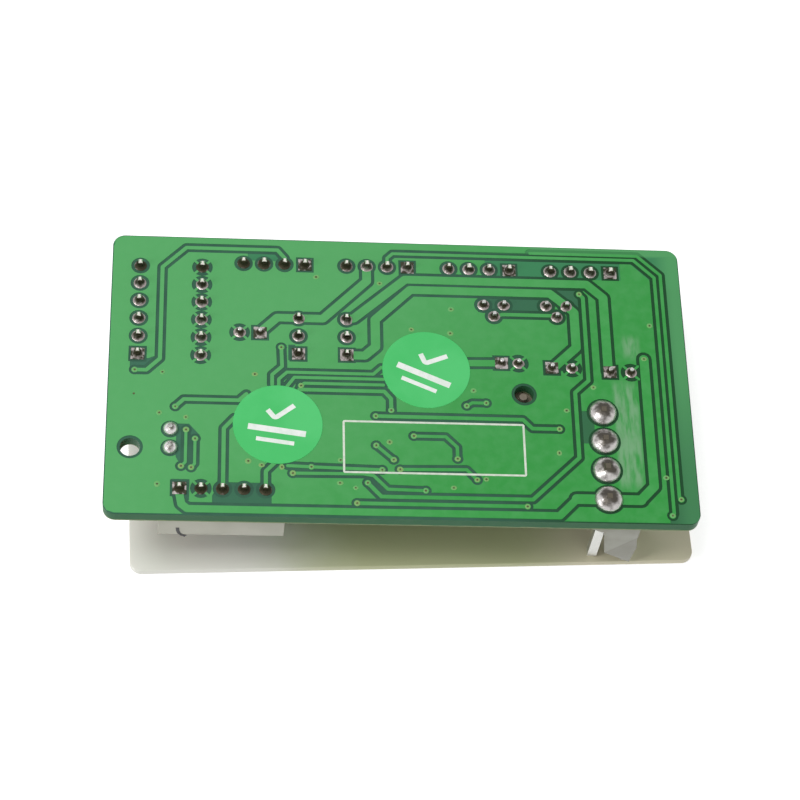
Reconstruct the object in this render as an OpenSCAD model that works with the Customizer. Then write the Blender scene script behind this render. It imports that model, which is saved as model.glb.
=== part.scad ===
// Component tester module: a circuit board that lies solder side up on a milky base
// plate. The connectors, selector switch and jumpers hang between board and plate.
// Frame: origin under the board's centre on the plate's underside, +X along the
// board, +Y to the rear port row, +Z up out of the solder side.

/* [Board] */
// Length of the circuit board
board_l = 71; // [70:1:100]
// Width of the circuit board
board_w = 39; // [38:1:60]
// Thickness of the circuit board
board_t = 1.6; // [1:0.2:2.4]
// Corner radius of the circuit board
board_corner = 1.5; // [0.5:0.1:3]
// Diameter of the two fixing holes in the board
fixing_d = 2.4; // [2:0.1:3]

/* [Base plate] */
// How much shorter the plate is than the board
plate_short = 1.1; // [0:0.1:3]
// How much narrower the plate is than the board
plate_narrow = 2; // [0:0.1:4]
// Thickness of the plate
plate_t = 1; // [0.8:0.1:2]
// Corner radius of the plate
plate_corner = 1.4; // [0.5:0.1:3]
// Angle of the plate against the board at rest
plate_turn = 2.4; // [0:0.1:5]
// Clear height between plate and board
stand_gap = 12.8; // [12:0.1:18]
// Diameter of the support post's shank
post_d = 3.4; // [3:0.1:3.6]
// Diameter of the post's locating tip
post_tip_d = 1; // [0.8:0.1:1.6]

/* [Connectors] */
// Pin pitch of ports, data header and jumpers
pitch = 2.54; // [2.5:0.01:2.6]
// Side of a small square pin
pin_side = 0.64; // [0.5:0.02:0.7]
// Height that pins stand proud of the solder side
pin_proud = 1.3; // [0.8:0.1:2]
// Height of a port's shroud
shroud_h = 5.8; // [5:0.1:9]
// Width of a port's shroud
shroud_w = 5.75; // [5.5:0.05:7]
// Wall thickness of a port's shroud
shroud_wall = 0.8; // [0.6:0.05:1]
// Floor thickness of a port's shroud
shroud_floor = 1.6; // [1:0.1:2.5]
// Pin pitch of the power header
power_pitch = 3.96; // [3.9:0.02:5]
// Side of a power header pin
power_side = 1.14; // [1:0.02:1.4]
// Base height of the power header
power_base_h = 3.2; // [2.5:0.1:4.5]

/* [Selector switch] */
// Row spacing of the switch terminals
dip_rows = 7.62; // [7.4:0.01:7.8]
// Width of the switch body
dip_w = 9.8; // [9.4:0.1:10.2]
// Height of the switch body
dip_h = 5.6; // [5.2:0.1:8]
// Travel of each slider
slider_travel = 1.1; // [0.8:0.05:1.3]
// Height that a slider's knob stands out of the body
knob_proud = 0.4; // [0:0.1:1]

/* [Jumpers] */
// Height of a jumper header's base
jumper_base_h = 2.5; // [2:0.1:3]
// Height of a shunt cap
shunt_h = 6.3; // [5.5:0.1:7]

/* [Discrete parts] */
// Diameter of a small capacitor
cap_small_d = 5; // [4:0.1:5.4]
// Diameter of a large capacitor
cap_large_d = 6.3; // [5:0.1:6.6]
// Height at which the capacitors stand off the board
cap_lift = 1.2; // [1:0.1:2.5]
// Diameter of the lamp's lens
lamp_d = 5; // [4:0.1:5.4]
// Diameter of the round inspection stickers
sticker_d = 10.8; // [8:0.1:11]
// Thickness of a sticker
sticker_t = 0.12; // [0.08:0.01:0.2]

/* [Hidden] */

$fn = 32;
eps = 0.01;
// Gap between pieces of the same body that fit together
fit = 0.02;
// Gap between pieces that slide past each other
slide_gap = 0.1;
// Gap between the board's tallest parts and the plate
rest_gap = 0.1;

board_under = plate_t + stand_gap;
board_top = board_under + board_t;
pin_tail = board_t + pin_proud;
pin_hole_d = pin_side * sqrt(2) + 0.1;
lead_d = 0.5;
lead_hole_d = lead_d + 0.15;
lead_proud = 1;
power_hole_d = power_side * sqrt(2) + 0.1;

plate_l = board_l - plate_short;
plate_w = board_w - plate_narrow;
// Plate centre against the board's centre, before the plate is turned about the post
plate_shift = [1.85, 0.6];
post_foot_d = 2;
post_tip_sink = 0.6;

// Places on the board, from its front left corner
fixing_at = [2.95, 8.95];
post_at = [board_l - 20.5, 17.45];
dip_at = [7.3, board_w - 10.8];
port_y = board_w - 3.7;
port_first_x = 20;
port_last_x = board_l - 12.6;
port_step = (port_last_x - port_first_x) / 3;
data_at = [14, 3.55];
power_at = [board_l - 10.97, 9.1];
jumper_at = [[23, board_w - 14.1], [28.9, board_w - 14.1]];
caps = [
    [17.05, board_w - 13.75, cap_small_d, 2.5],
    [board_l - 22.05, 21.75, cap_small_d, 2.1],
    [board_l - 15.65, 21.25, cap_large_d, 2.5],
    [board_l - 8.4, 20.85, cap_large_d, 2.6]];
transistor_at = [[board_l - 23.75, board_w - 8.9], [board_l - 15.9, board_w - 8.8]];
transistor_bend = 1.6;
lamp_at = [7.7, 10.2];
controller_at = [39.3, 9.65];
regulator_at = [board_l - 18.3, 6.2];
sticker_at = [[20.5, 12.45], [38.6, 20.55]];

port_pins = 4;
data_pins = 5;
power_pins = 4;
dip_ways = 6;
jumper_pins = 3;
port_back = 2.35;
port_end = 2.45;
port_pin_reach = shroud_h - 1.2;

dip_l = dip_ways * pitch + 1.2;
dip_base_h = 1.4;
dip_slot_w = 1.1;
dip_lid = 1.1;
carriage = [2.2, 1.5, 1.5];
knob = [1.2, 0.9];

shunt_size = [4.9, 2.4];
shunt_end = 0.4;
shunt_pocket = 1.3;
shunt_top = jumper_base_h + slide_gap;
shunt_floor = shunt_top + shunt_h - shunt_end;
jumper_pin_reach = shunt_floor - slide_gap;
leaf_t = 0.15;

bung_h = 1.6;

lamp_lift = 1.8;
transistor_lift = 2.6;
transistor_d = 4.7;
transistor_h = 4.6;
transistor_flat = 1.4;

controller = [17.9, 7.5, 2.3];
controller_ways = 14;
controller_pitch = 1.27;
regulator = [3.5, 6.5, 1.6];
chip_lift = 0.12;
foot_l = 0.75;

port_x = [for (i = [0:3]) port_first_x + i * port_step];
// Row of n places along X or Y, centred on a point
function row(at, n, step, along) =
    [for (i = [0:n - 1]) at + along * (i - (n - 1) / 2) * step];
small_pins = concat(
    [for (x = port_x) each row([x, port_y], port_pins, pitch, [1, 0])],
    row(data_at, data_pins, pitch, [1, 0]),
    [for (at = jumper_at) each row(at, jumper_pins, pitch, [0, 1])],
    row(dip_at - [dip_rows / 2, 0], dip_ways, pitch, [0, 1]),
    row(dip_at + [dip_rows / 2, 0], dip_ways, pitch, [0, 1]));
function transistor_places(at) =
    [at - [pitch / 2, 0], at + [pitch / 2, 0], at - [0, transistor_bend]];
thin_leads = concat(
    [for (c = caps) each row([c[0], c[1]], 2, c[3], [1, 0])],
    [for (at = transistor_at) each transistor_places(at)],
    row(lamp_at, 2, pitch, [0, 1]));
power_places = row(power_at, power_pins, power_pitch, [0, 1]);

chip_size = [1.6, 0.8, 0.45];
resistor_at = concat(
    [for (at = row(dip_at + [dip_w / 2 + 0.7, 0], dip_ways, pitch, [0, 1])) [at[0], at[1], 90]],
    [for (i = [0:5]) [33.2 + i * 2.1, board_w - 8.9, 90]],
    [for (i = [0:3]) [25 + i * 2.1, 17, 90]]);
chip_capacitor_at = concat(
    [for (i = [0:3]) [31.5 + i * 4.6, 2.6, 0]],
    [[26.3, 8.2, 90], [26.3, 11.2, 90], [board_l - 18.3, 11.4, 0], [board_l - 4.2, 33, 0]]);

// Moves children from the board's front left corner to a place on its underside,
// where their own +Z then points away from the board, down to the plate
module under_board(at) {
    translate([at[0] - board_l / 2, at[1] - board_w / 2, board_under])
        mirror([0, 0, 1])
            children();
}

// Moves children to a place on the board's solder side
module on_board(at) {
    translate([at[0] - board_l / 2, at[1] - board_w / 2, board_top])
        children();
}

// Slab centred on the origin with upright rounded corners
module rounded_slab(l, w, t, r) {
    linear_extrude(t) {
        square([l - 2 * r, w], center = true);
        square([l, w - 2 * r], center = true);
        for (x = [-1, 1], y = [-1, 1])
            translate([x * (l / 2 - r), y * (w / 2 - r)])
                circle(r);
    }
}

// Box centred in X and Y that stands on its own Z zero
module block(size) {
    translate([-size[0] / 2, -size[1] / 2, 0])
        cube(size);
}

// Upright square bar from z0 to z1
module bar(side, z0, z1) {
    translate([0, 0, z0])
        block([side, side, z1 - z0]);
}

// Round wire from z0 to z1
module wire(z0, z1) {
    translate([0, 0, z0])
        cylinder(h = z1 - z0, d = lead_d, $fn = 16);
}

module base_plate() {
    post = [post_at[0] - board_l / 2, post_at[1] - board_w / 2, 0];
    color([0.86, 0.86, 0.78, 0.85])
        translate(post)
            rotate(plate_turn)
                difference() {
                    translate([plate_shift[0] - post[0], plate_shift[1] - post[1], 0])
                        rounded_slab(plate_l, plate_w, plate_t, plate_corner);
                    translate([0, 0, -1])
                        cylinder(h = plate_t + 2, d = post_foot_d + 2 * fit);
                }
}

// Post: foot in the plate, shank up to the board, thin tip in the fixing hole
module support_post() {
    color([0.82, 0.8, 0.76])
        translate([post_at[0] - board_l / 2, post_at[1] - board_w / 2, 0]) {
            cylinder(h = plate_t + 1, d = post_foot_d);
            translate([0, 0, plate_t + fit])
                cylinder(h = stand_gap - rest_gap - fit, d = post_d);
            translate([0, 0, board_under - 1])
                cylinder(h = board_t - post_tip_sink + 1, d = post_tip_d);
        }
}

module board() {
    color([0.2, 0.55, 0.3])
        difference() {
            translate([0, 0, board_under])
                rounded_slab(board_l, board_w, board_t, board_corner);
            for (at = [fixing_at, post_at])
                board_hole(at, fixing_d);
            for (at = small_pins)
                board_hole(at, pin_hole_d);
            for (at = thin_leads)
                board_hole(at, lead_hole_d);
            for (at = power_places)
                board_hole(at, power_hole_d);
        }
}

module board_hole(at, d) {
    translate([at[0] - board_l / 2, at[1] - board_w / 2, board_under - 1])
        cylinder(h = board_t + 2, d = d, $fn = 24);
}

// Solder cone round a pin: hollow fillet from the pad up to the pin
module fillet_ring(bore_d, pad_d, h) {
    rotate_extrude($fn = 24)
        polygon([[bore_d / 2, 0], [pad_d / 2, 0], [pad_d / 2 * 0.86, h * 0.3],
            [bore_d / 2 + 0.12, h], [bore_d / 2, h]]);
}

module signal_solder() {
    color([0.62, 0.6, 0.57]) {
        for (at = small_pins)
            on_board(at)
                fillet_ring(pin_hole_d, 1.7, 0.9);
        for (at = thin_leads)
            on_board(at)
                fillet_ring(lead_hole_d, 1.6, 0.75);
    }
}

module power_solder() {
    color([0.75, 0.74, 0.72])
        for (at = power_places)
            on_board(at)
                fillet_ring(power_hole_d, 3.3, 1.15);
}

module dip_base() {
    color([0.1, 0.1, 0.1])
        under_board(dip_at)
            difference() {
                block([dip_w - 0.4, dip_l - 0.4, dip_base_h]);
                for (x = [-1, 1], i = [0:dip_ways - 1])
                    translate([x * dip_rows / 2, (i - (dip_ways - 1) / 2) * pitch, -1])
                        block([pin_side + 2 * fit, pin_side + 2 * fit, dip_base_h + 2]);
            }
}

module dip_cover() {
    pocket = [carriage[0] + slider_travel + 2 * slide_gap, carriage[1] + 2 * slide_gap];
    color([0.1, 0.25, 0.6])
        under_board(dip_at)
            difference() {
                translate([0, 0, dip_base_h])
                    block([dip_w, dip_l, dip_h - dip_base_h]);
                for (i = [0:dip_ways - 1])
                    translate([0, (i - (dip_ways - 1) / 2) * pitch, dip_base_h - 1])
                        block([pocket[0], pocket[1], dip_h - dip_base_h - dip_lid + 1]);
                for (i = [0:dip_ways - 1])
                    translate([0, (i - (dip_ways - 1) / 2) * pitch, dip_base_h])
                        block([knob[0] + slider_travel + 2 * slide_gap, dip_slot_w, dip_h]);
                for (x = [-1, 1], i = [0:dip_ways - 1])
                    translate([x * dip_rows / 2, (i - (dip_ways - 1) / 2) * pitch, dip_base_h - 1])
                        block([pin_side + 2 * fit, pin_side + 2 * fit, 2]);
            }
}

module dip_terminals() {
    color([0.8, 0.8, 0.78])
        for (x = [-1, 1], i = [0:dip_ways - 1])
            under_board(dip_at + [x * dip_rows / 2, (i - (dip_ways - 1) / 2) * pitch])
                bar(pin_side, -pin_tail, dip_base_h + 0.8);
}

// Slider n at its off end: carriage in the cover's pocket, knob through the slot
module slider(n) {
    color([0.92, 0.92, 0.9])
        under_board(dip_at + [-slider_travel / 2, (n - 1 - (dip_ways - 1) / 2) * pitch]) {
            translate([0, 0, dip_h - dip_lid - slide_gap - carriage[2]])
                block(carriage);
            translate([0, 0, dip_h - dip_lid - slide_gap - eps])
                block([knob[0], knob[1], dip_lid + slide_gap + knob_proud + eps]);
        }
}

module slider_1() { slider(1); }
module slider_2() { slider(2); }
module slider_3() { slider(3); }
module slider_4() { slider(4); }
module slider_5() { slider(5); }
module slider_6() { slider(6); }

// Open shroud for n pins; its back wall lies on the side given by back, -1 front, 1 rear
module shroud(n, back) {
    l = (n - 1) * pitch + 2 * port_end;
    y0 = -port_back;
    slot_w = 1.8;
    mirror([0, back > 0 ? 1 : 0, 0])
        difference() {
            translate([-l / 2, y0, 0])
                cube([l, shroud_w, shroud_h]);
            translate([-l / 2 + shroud_wall, y0 + shroud_wall, shroud_floor])
                cube([l - 2 * shroud_wall, shroud_w - 2 * shroud_wall, shroud_h]);
            for (x = [-1, 1])
                translate([x * (l / 2 - 3) - slot_w / 2, y0 + shroud_w - shroud_wall - eps, shroud_floor])
                    cube([slot_w, shroud_wall + 1, shroud_h]);
            for (i = [0:n - 1])
                translate([(i - (n - 1) / 2) * pitch, 0, -1])
                    block([pin_side + 2 * fit, pin_side + 2 * fit, shroud_floor + 2]);
        }
}

module pin_row(n, reach) {
    for (i = [0:n - 1])
        translate([(i - (n - 1) / 2) * pitch, 0, 0])
            bar(pin_side, -pin_tail, reach);
}

module port_shroud(n) {
    color([0.93, 0.92, 0.88])
        under_board([port_x[n - 1], port_y])
            shroud(port_pins, 1);
}

module port_pin_set(n) {
    color([0.8, 0.8, 0.78])
        under_board([port_x[n - 1], port_y])
            pin_row(port_pins, port_pin_reach);
}

module port_1_shroud() { port_shroud(1); }
module port_2_shroud() { port_shroud(2); }
module port_3_shroud() { port_shroud(3); }
module port_4_shroud() { port_shroud(4); }
module port_1_pins() { port_pin_set(1); }
module port_2_pins() { port_pin_set(2); }
module port_3_pins() { port_pin_set(3); }
module port_4_pins() { port_pin_set(4); }

module data_header_shroud() {
    color([0.93, 0.92, 0.88])
        under_board(data_at)
            shroud(data_pins, -1);
}

module data_header_pins() {
    color([0.8, 0.8, 0.78])
        under_board(data_at)
            pin_row(data_pins, port_pin_reach);
}

// Power header: low base, lock wall along the row and a curled ear at the front end
module power_header_base() {
    l = power_pins * power_pitch;
    left = 3.6;
    right = 4.4;
    wall_t = 1.1;
    ear_t = 0.8;
    ear_end = stand_gap - 0.5;
    color([0.85, 0.85, 0.8])
        under_board(power_at)
            difference() {
                union() {
                    translate([-left, -l / 2, 0])
                        cube([left + right, l, power_base_h]);
                    translate([right - wall_t, -l / 2, power_base_h - eps])
                        cube([wall_t, l, 8.2]);
                    translate([0, ear_t - l / 2, 0])
                        rotate([90, 0, 0])
                            linear_extrude(ear_t)
                                polygon([[0, 0], [0.05, 2.9], [0.9, 8.6], [right + 0.2, ear_end],
                                    [right + 0.4, 7.6], [right, 5.2], [right, 0]]);
                }
                for (i = [0:power_pins - 1])
                    translate([0, (i - (power_pins - 1) / 2) * power_pitch, -1])
                        block([power_side + 2 * fit, power_side + 2 * fit, power_base_h + 2]);
            }
}

module power_header_pins() {
    color([0.82, 0.82, 0.8])
        for (at = power_places)
            under_board(at)
                bar(power_side, -pin_tail, stand_gap - rest_gap);
}

module jumper_base(n) {
    color([0.1, 0.1, 0.1])
        under_board(jumper_at[n - 1])
            difference() {
                block([pitch - 0.1, jumper_pins * pitch, jumper_base_h]);
                for (i = [-1:1])
                    translate([0, i * pitch, -1])
                        block([pin_side + 2 * fit, pin_side + 2 * fit, jumper_base_h + 2]);
            }
}

module jumper_pin_set(n) {
    color([0.85, 0.75, 0.4])
        under_board(jumper_at[n - 1])
            rotate(90)
                pin_row(jumper_pins, jumper_pin_reach);
}

// Shunt cap over the two front pins, with a pocket for each pin
module jumper_shunt(n) {
    color([0.13, 0.13, 0.14])
        under_board(jumper_at[n - 1] - [0, pitch / 2])
            difference() {
                translate([0, 0, shunt_top])
                    block([shunt_size[1], shunt_size[0], shunt_h]);
                for (y = [-1, 1])
                    translate([0, y * pitch / 2, shunt_top - 1])
                        block([shunt_pocket, shunt_pocket, shunt_floor - shunt_top + 1]);
            }
}

// Spring leaves in the shunt's pockets, one on each long side of each pin
module jumper_contact(n) {
    leaf_w = 0.8;
    leaf_l = shunt_h - 2;
    color([0.85, 0.7, 0.35])
        under_board(jumper_at[n - 1] - [0, pitch / 2])
            for (y = [-1, 1], x = [-1, 1])
                translate([x * (shunt_pocket / 2 - fit - leaf_t / 2), y * pitch / 2, shunt_top + 0.5])
                    block([leaf_t, leaf_w, leaf_l]);
}

module jumper_1_base() { jumper_base(1); }
module jumper_2_base() { jumper_base(2); }
module jumper_1_pins() { jumper_pin_set(1); }
module jumper_2_pins() { jumper_pin_set(2); }
module jumper_1_shunt() { jumper_shunt(1); }
module jumper_2_shunt() { jumper_shunt(2); }
module jumper_1_contact() { jumper_contact(1); }
module jumper_2_contact() { jumper_contact(2); }

// Can n: drawn sleeve, hollow at the board's end where the rubber bung sits
module capacitor_can(n) {
    c = caps[n - 1];
    h = stand_gap - cap_lift - 3 * rest_gap;
    color([0.12, 0.14, 0.2])
        under_board([c[0], c[1]])
            translate([0, 0, cap_lift])
                difference() {
                    cylinder(h = h, d = c[2]);
                    translate([0, 0, -1])
                        cylinder(h = bung_h + 2.4, d = c[2] - 0.7);
                }
}

module capacitor_1_can() { capacitor_can(1); }
module capacitor_2_can() { capacitor_can(2); }
module capacitor_3_can() { capacitor_can(3); }
module capacitor_4_can() { capacitor_can(4); }

module capacitor_bungs() {
    color([0.05, 0.05, 0.05])
        for (c = caps)
            under_board([c[0], c[1]])
                difference() {
                    translate([0, 0, cap_lift + 0.2])
                        cylinder(h = bung_h, d = c[2] - 0.7 - 2 * fit);
                    for (x = [-1, 1])
                        translate([x * c[3] / 2, 0, 0])
                            cylinder(h = cap_lift + bung_h + 1, d = lead_d + 2 * fit, $fn = 16);
                }
}

module capacitor_leads() {
    color([0.8, 0.8, 0.78])
        for (c = caps, x = [-1, 1])
            under_board([c[0] + x * c[3] / 2, c[1]])
                wire(-board_t - lead_proud, cap_lift + bung_h + 0.6);
}

module transistor_case(n) {
    color([0.08, 0.08, 0.08])
        under_board(transistor_at[n - 1])
            difference() {
                translate([0, 0, transistor_lift])
                    cylinder(h = transistor_h, d = transistor_d);
                translate([-transistor_d, transistor_flat, transistor_lift - 1])
                    cube([2 * transistor_d, transistor_d, transistor_h + 2]);
                for (x = [-1:1])
                    translate([x * pitch / 2, 0, transistor_lift - 1])
                        block([lead_d + 2 * fit, lead_d + 2 * fit, 2]);
            }
}

// Three leads: the outer two straight, the middle one stepped to its own hole
module transistor_lead_set(n) {
    side = 0.45;
    step_z = 1.2;
    color([0.8, 0.8, 0.78])
        under_board(transistor_at[n - 1]) {
            for (x = [-1, 1])
                translate([x * pitch / 2, 0, 0])
                    bar(side, -board_t - lead_proud, transistor_lift + 1);
            translate([0, -transistor_bend, 0])
                bar(side, -board_t - lead_proud, step_z + side);
            translate([-side / 2, -transistor_bend - side / 2, step_z])
                cube([side, transistor_bend + side, side]);
            bar(side, step_z, transistor_lift + 1);
        }
}

module transistor_1_case() { transistor_case(1); }
module transistor_2_case() { transistor_case(2); }
module transistor_1_leads() { transistor_lead_set(1); }
module transistor_2_leads() { transistor_lead_set(2); }

module status_lamp_lens() {
    color([0.8, 0.1, 0.08])
        under_board(lamp_at)
            difference() {
                translate([0, 0, lamp_lift])
                    rotate_extrude()
                        intersection() {
                            union() {
                                square([lamp_d / 2 + 0.4, 1]);
                                square([lamp_d / 2, 6]);
                                translate([0, 6])
                                    circle(lamp_d / 2);
                            }
                            square(20);
                        }
                for (y = [-1, 1])
                    translate([0, y * pitch / 2, lamp_lift - 1])
                        cylinder(h = 3, d = lead_d + 2 * fit, $fn = 16);
            }
}

module status_lamp_leads() {
    color([0.8, 0.8, 0.78])
        for (y = [-1, 1])
            under_board(lamp_at + [0, y * pitch / 2])
                wire(-board_t - lead_proud, lamp_lift + 1.9);
}

module controller_case() {
    color([0.1, 0.1, 0.11])
        under_board(controller_at)
            translate([0, 0, chip_lift])
                block(controller);
}

// Gull-wing lead that leaves a case's side at x and rests its foot on the board
module gull_lead(x, side, out, h) {
    t = 0.25;
    w = 0.42;
    translate([0, -w / 2, 0])
        scale([side, 1, 1]) {
            translate([x + fit, 0, h])
                cube([out, w, t]);
            translate([x + out + fit - t, 0, 0])
                cube([t, w, h + t]);
            translate([x + out + fit - t, 0, 0])
                cube([foot_l, w, t]);
        }
}

module controller_leads() {
    color([0.78, 0.78, 0.76])
        under_board(controller_at)
            for (s = [-1, 1], i = [0:controller_ways - 1])
                translate([(i - (controller_ways - 1) / 2) * controller_pitch, 0, 0])
                    rotate(90)
                        gull_lead(controller[1] / 2, s, 0.65, 1.1);
}

module regulator_case() {
    color([0.1, 0.1, 0.11])
        under_board(regulator_at)
            translate([0, 0, chip_lift])
                block(regulator);
}

module regulator_leads() {
    color([0.78, 0.78, 0.76])
        under_board(regulator_at) {
            for (y = [-1:1])
                translate([0, y * 2.3, 0])
                    gull_lead(regulator[0] / 2, 1, 0.8, 0.7);
            translate([-regulator[0] / 2 - fit - 1.2, -1.5, 0])
                cube([1.2, 3, 0.3]);
        }
}

module chips(places) {
    for (p = places)
        under_board([p[0], p[1]])
            rotate(p[2])
                block(chip_size);
}

module chip_resistors() {
    color([0.12, 0.12, 0.13])
        chips(resistor_at);
}

module chip_capacitors() {
    color([0.7, 0.6, 0.45])
        chips(chip_capacitor_at);
}

module sticker(n) {
    color([0.28, 0.78, 0.45])
        on_board(sticker_at[n - 1])
            cylinder(h = sticker_t, d = sticker_d, $fn = 48);
}

module sticker_left() { sticker(1); }
module sticker_centre() { sticker(2); }

base_plate();
support_post();
board();
signal_solder();
power_solder();
dip_base();
dip_cover();
dip_terminals();
slider_1();
slider_2();
slider_3();
slider_4();
slider_5();
slider_6();
port_1_shroud();
port_2_shroud();
port_3_shroud();
port_4_shroud();
port_1_pins();
port_2_pins();
port_3_pins();
port_4_pins();
data_header_shroud();
data_header_pins();
power_header_base();
power_header_pins();
jumper_1_base();
jumper_1_pins();
jumper_1_shunt();
jumper_1_contact();
jumper_2_base();
jumper_2_pins();
jumper_2_shunt();
jumper_2_contact();
capacitor_1_can();
capacitor_2_can();
capacitor_3_can();
capacitor_4_can();
capacitor_bungs();
capacitor_leads();
transistor_1_case();
transistor_2_case();
transistor_1_leads();
transistor_2_leads();
status_lamp_lens();
status_lamp_leads();
controller_case();
controller_leads();
regulator_case();
regulator_leads();
chip_resistors();
chip_capacitors();
sticker_left();
sticker_centre();
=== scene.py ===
"""Looks of the component tester module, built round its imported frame.

The circuit board lies solder side up over a milky base plate. Connectors, selector
switch, jumpers and round parts hang between the board and the plate.
"""

import functools
import logging
import math
import random
from dataclasses import dataclass
from enum import Enum
from typing import Any, Callable, Iterable, Sequence

import bmesh
import bpy
from mathutils import Matrix, Quaternion, Vector
from mathutils.geometry import delaunay_2d_cdt


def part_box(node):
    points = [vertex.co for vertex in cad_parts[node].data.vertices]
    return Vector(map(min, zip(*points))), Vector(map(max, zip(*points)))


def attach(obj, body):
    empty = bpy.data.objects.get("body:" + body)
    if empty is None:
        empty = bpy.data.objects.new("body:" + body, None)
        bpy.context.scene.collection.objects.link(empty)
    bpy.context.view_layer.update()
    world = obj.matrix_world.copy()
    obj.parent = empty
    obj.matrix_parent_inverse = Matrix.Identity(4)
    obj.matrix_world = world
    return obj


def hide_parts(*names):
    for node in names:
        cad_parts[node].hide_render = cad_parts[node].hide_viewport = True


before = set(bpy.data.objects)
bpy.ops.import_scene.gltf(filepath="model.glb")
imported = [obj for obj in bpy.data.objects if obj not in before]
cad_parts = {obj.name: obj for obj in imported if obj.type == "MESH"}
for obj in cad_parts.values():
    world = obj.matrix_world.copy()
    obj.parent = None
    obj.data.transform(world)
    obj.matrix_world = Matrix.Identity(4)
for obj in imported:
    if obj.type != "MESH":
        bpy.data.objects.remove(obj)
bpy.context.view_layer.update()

LOG = logging.getLogger("tester")
MM = 0.001
BOARD_TOP = 15.4  # height of the solder side, in millimetres
DRAWING_ZERO = (0.2, -1.15)  # the board drawing's zero in the shared frame, in millimetres
EAR_ACROSS = (0.773, 0.0, -0.635)  # direction across the fold of the power header's ear
Point = tuple[float, float]
Point3 = tuple[float, float, float]
Colour = tuple[float, float, float, float]
Box = tuple[Vector, Vector]
Obj = bpy.types.Object
BMesh = bmesh.types.BMesh


def srgb(red: int, green: int, blue: int) -> Colour:
    """Turns a display colour into a linear one.

    Args:
        red: 0 to 255.
        green: 0 to 255.
        blue: 0 to 255.

    Returns:
        The linear colour, with full alpha.
    """

    def linear(value: int) -> float:
        """Returns one linear channel."""
        part = value / 255
        return part / 12.92 if part <= 0.04045 else ((part + 0.055) / 1.055) ** 2.4

    return (linear(red), linear(green), linear(blue), 1.0)


# --- node trees ---------------------------------------------------------------------


class Sock:
    """A node's output socket. Operators on it add Math nodes to its tree."""

    def __init__(self, tree: "Tree", socket: bpy.types.NodeSocket) -> None:
        """Keeps the tree and the socket."""
        self.tree = tree
        self.socket = socket

    def math(self, operation: str, *others: Any) -> "Sock":
        """Adds a Math node.

        Args:
            operation: the node's operation.
            others: the values or sockets after this one.

        Returns:
            The node's result.
        """
        values = dict(enumerate((self, *others)))
        return self.tree.node("ShaderNodeMath", {"operation": operation}, values)

    def __add__(self, other: Any) -> "Sock":
        """Returns self + other."""
        return self.math("ADD", other)

    __radd__ = __add__

    def __mul__(self, other: Any) -> "Sock":
        """Returns self * other."""
        return self.math("MULTIPLY", other)

    __rmul__ = __mul__

    def __sub__(self, other: Any) -> "Sock":
        """Returns self - other."""
        return self.math("SUBTRACT", other)

    def __rsub__(self, other: Any) -> "Sock":
        """Returns other - self."""
        return (self * -1.0).math("ADD", other)

    def __truediv__(self, other: Any) -> "Sock":
        """Returns self / other."""
        return self.math("DIVIDE", other)

    def __abs__(self) -> "Sock":
        """Returns the absolute value."""
        return self.math("ABSOLUTE")

    def ramp(self, low: float, high: float) -> "Sock":
        """Returns a smooth 0 to 1 step as the value goes from low to high."""
        settings = {"interpolation_type": "SMOOTHSTEP"}
        return self.tree.node("ShaderNodeMapRange", settings, {0: self, 1: low, 2: high})


class Tree:
    """A shader or geometry node tree that grows one node at a time."""

    def __init__(self, tree: bpy.types.NodeTree) -> None:
        """Keeps Blender's own tree."""
        self.tree = tree

    def node(
        self, kind: str, settings: dict[str, Any], values: dict[Any, Any], out: Any = 0
    ) -> Sock | None:
        """Adds any node.

        Args:
            kind: the node's type.
            settings: its own properties, set first.
            values: a value or a Sock for each named or numbered input.
            out: the output to return, by name or number.

        Returns:
            The chosen output, or None for a node that has none.
        """
        made = self.tree.nodes.new(kind)
        for key, value in settings.items():
            setattr(made, key, value)
        for key, value in values.items():
            if isinstance(value, Sock):
                self.tree.links.new(value.socket, made.inputs[key])
            else:
                made.inputs[key].default_value = value
        return Sock(self, made.outputs[out]) if len(made.outputs) else None

    def blend(self, mask: Any, low: Any, high: Any) -> Sock:
        """Returns a colour that goes from low to high with the mask."""
        settings = {"data_type": "RGBA"}
        return self.node("ShaderNodeMix", settings, {0: mask, 6: low, 7: high}, 2)

    def place(self) -> Sock:
        """Reads where a point of the surface lies.

        Returns:
            The object coordinates in millimetres.
        """
        where = self.node("ShaderNodeTexCoord", {}, {}, "Object")
        settings = {"operation": "SCALE"}
        return self.node("ShaderNodeVectorMath", settings, {0: where, "Scale": 1 / MM})

    def axis(self, vector: Sock, index: int) -> Sock:
        """Returns one coordinate of a vector."""
        return self.node("ShaderNodeSeparateXYZ", {}, {0: vector}, index)

    def stretch(self, vector: Sock, by: Sequence[float]) -> Sock:
        """Returns the vector times a constant on each axis."""
        settings = {"operation": "MULTIPLY"}
        return self.node("ShaderNodeVectorMath", settings, {0: vector, 1: by})

    def noise(self, place: Sock, size: float, detail: float = 3.0) -> Sock:
        """Returns a noise of patches about size millimetres wide."""
        values = {"Vector": place, "Scale": 1 / size, "Detail": detail}
        return self.node("ShaderNodeTexNoise", {}, values, 0)


# --- finishes -----------------------------------------------------------------------


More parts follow.
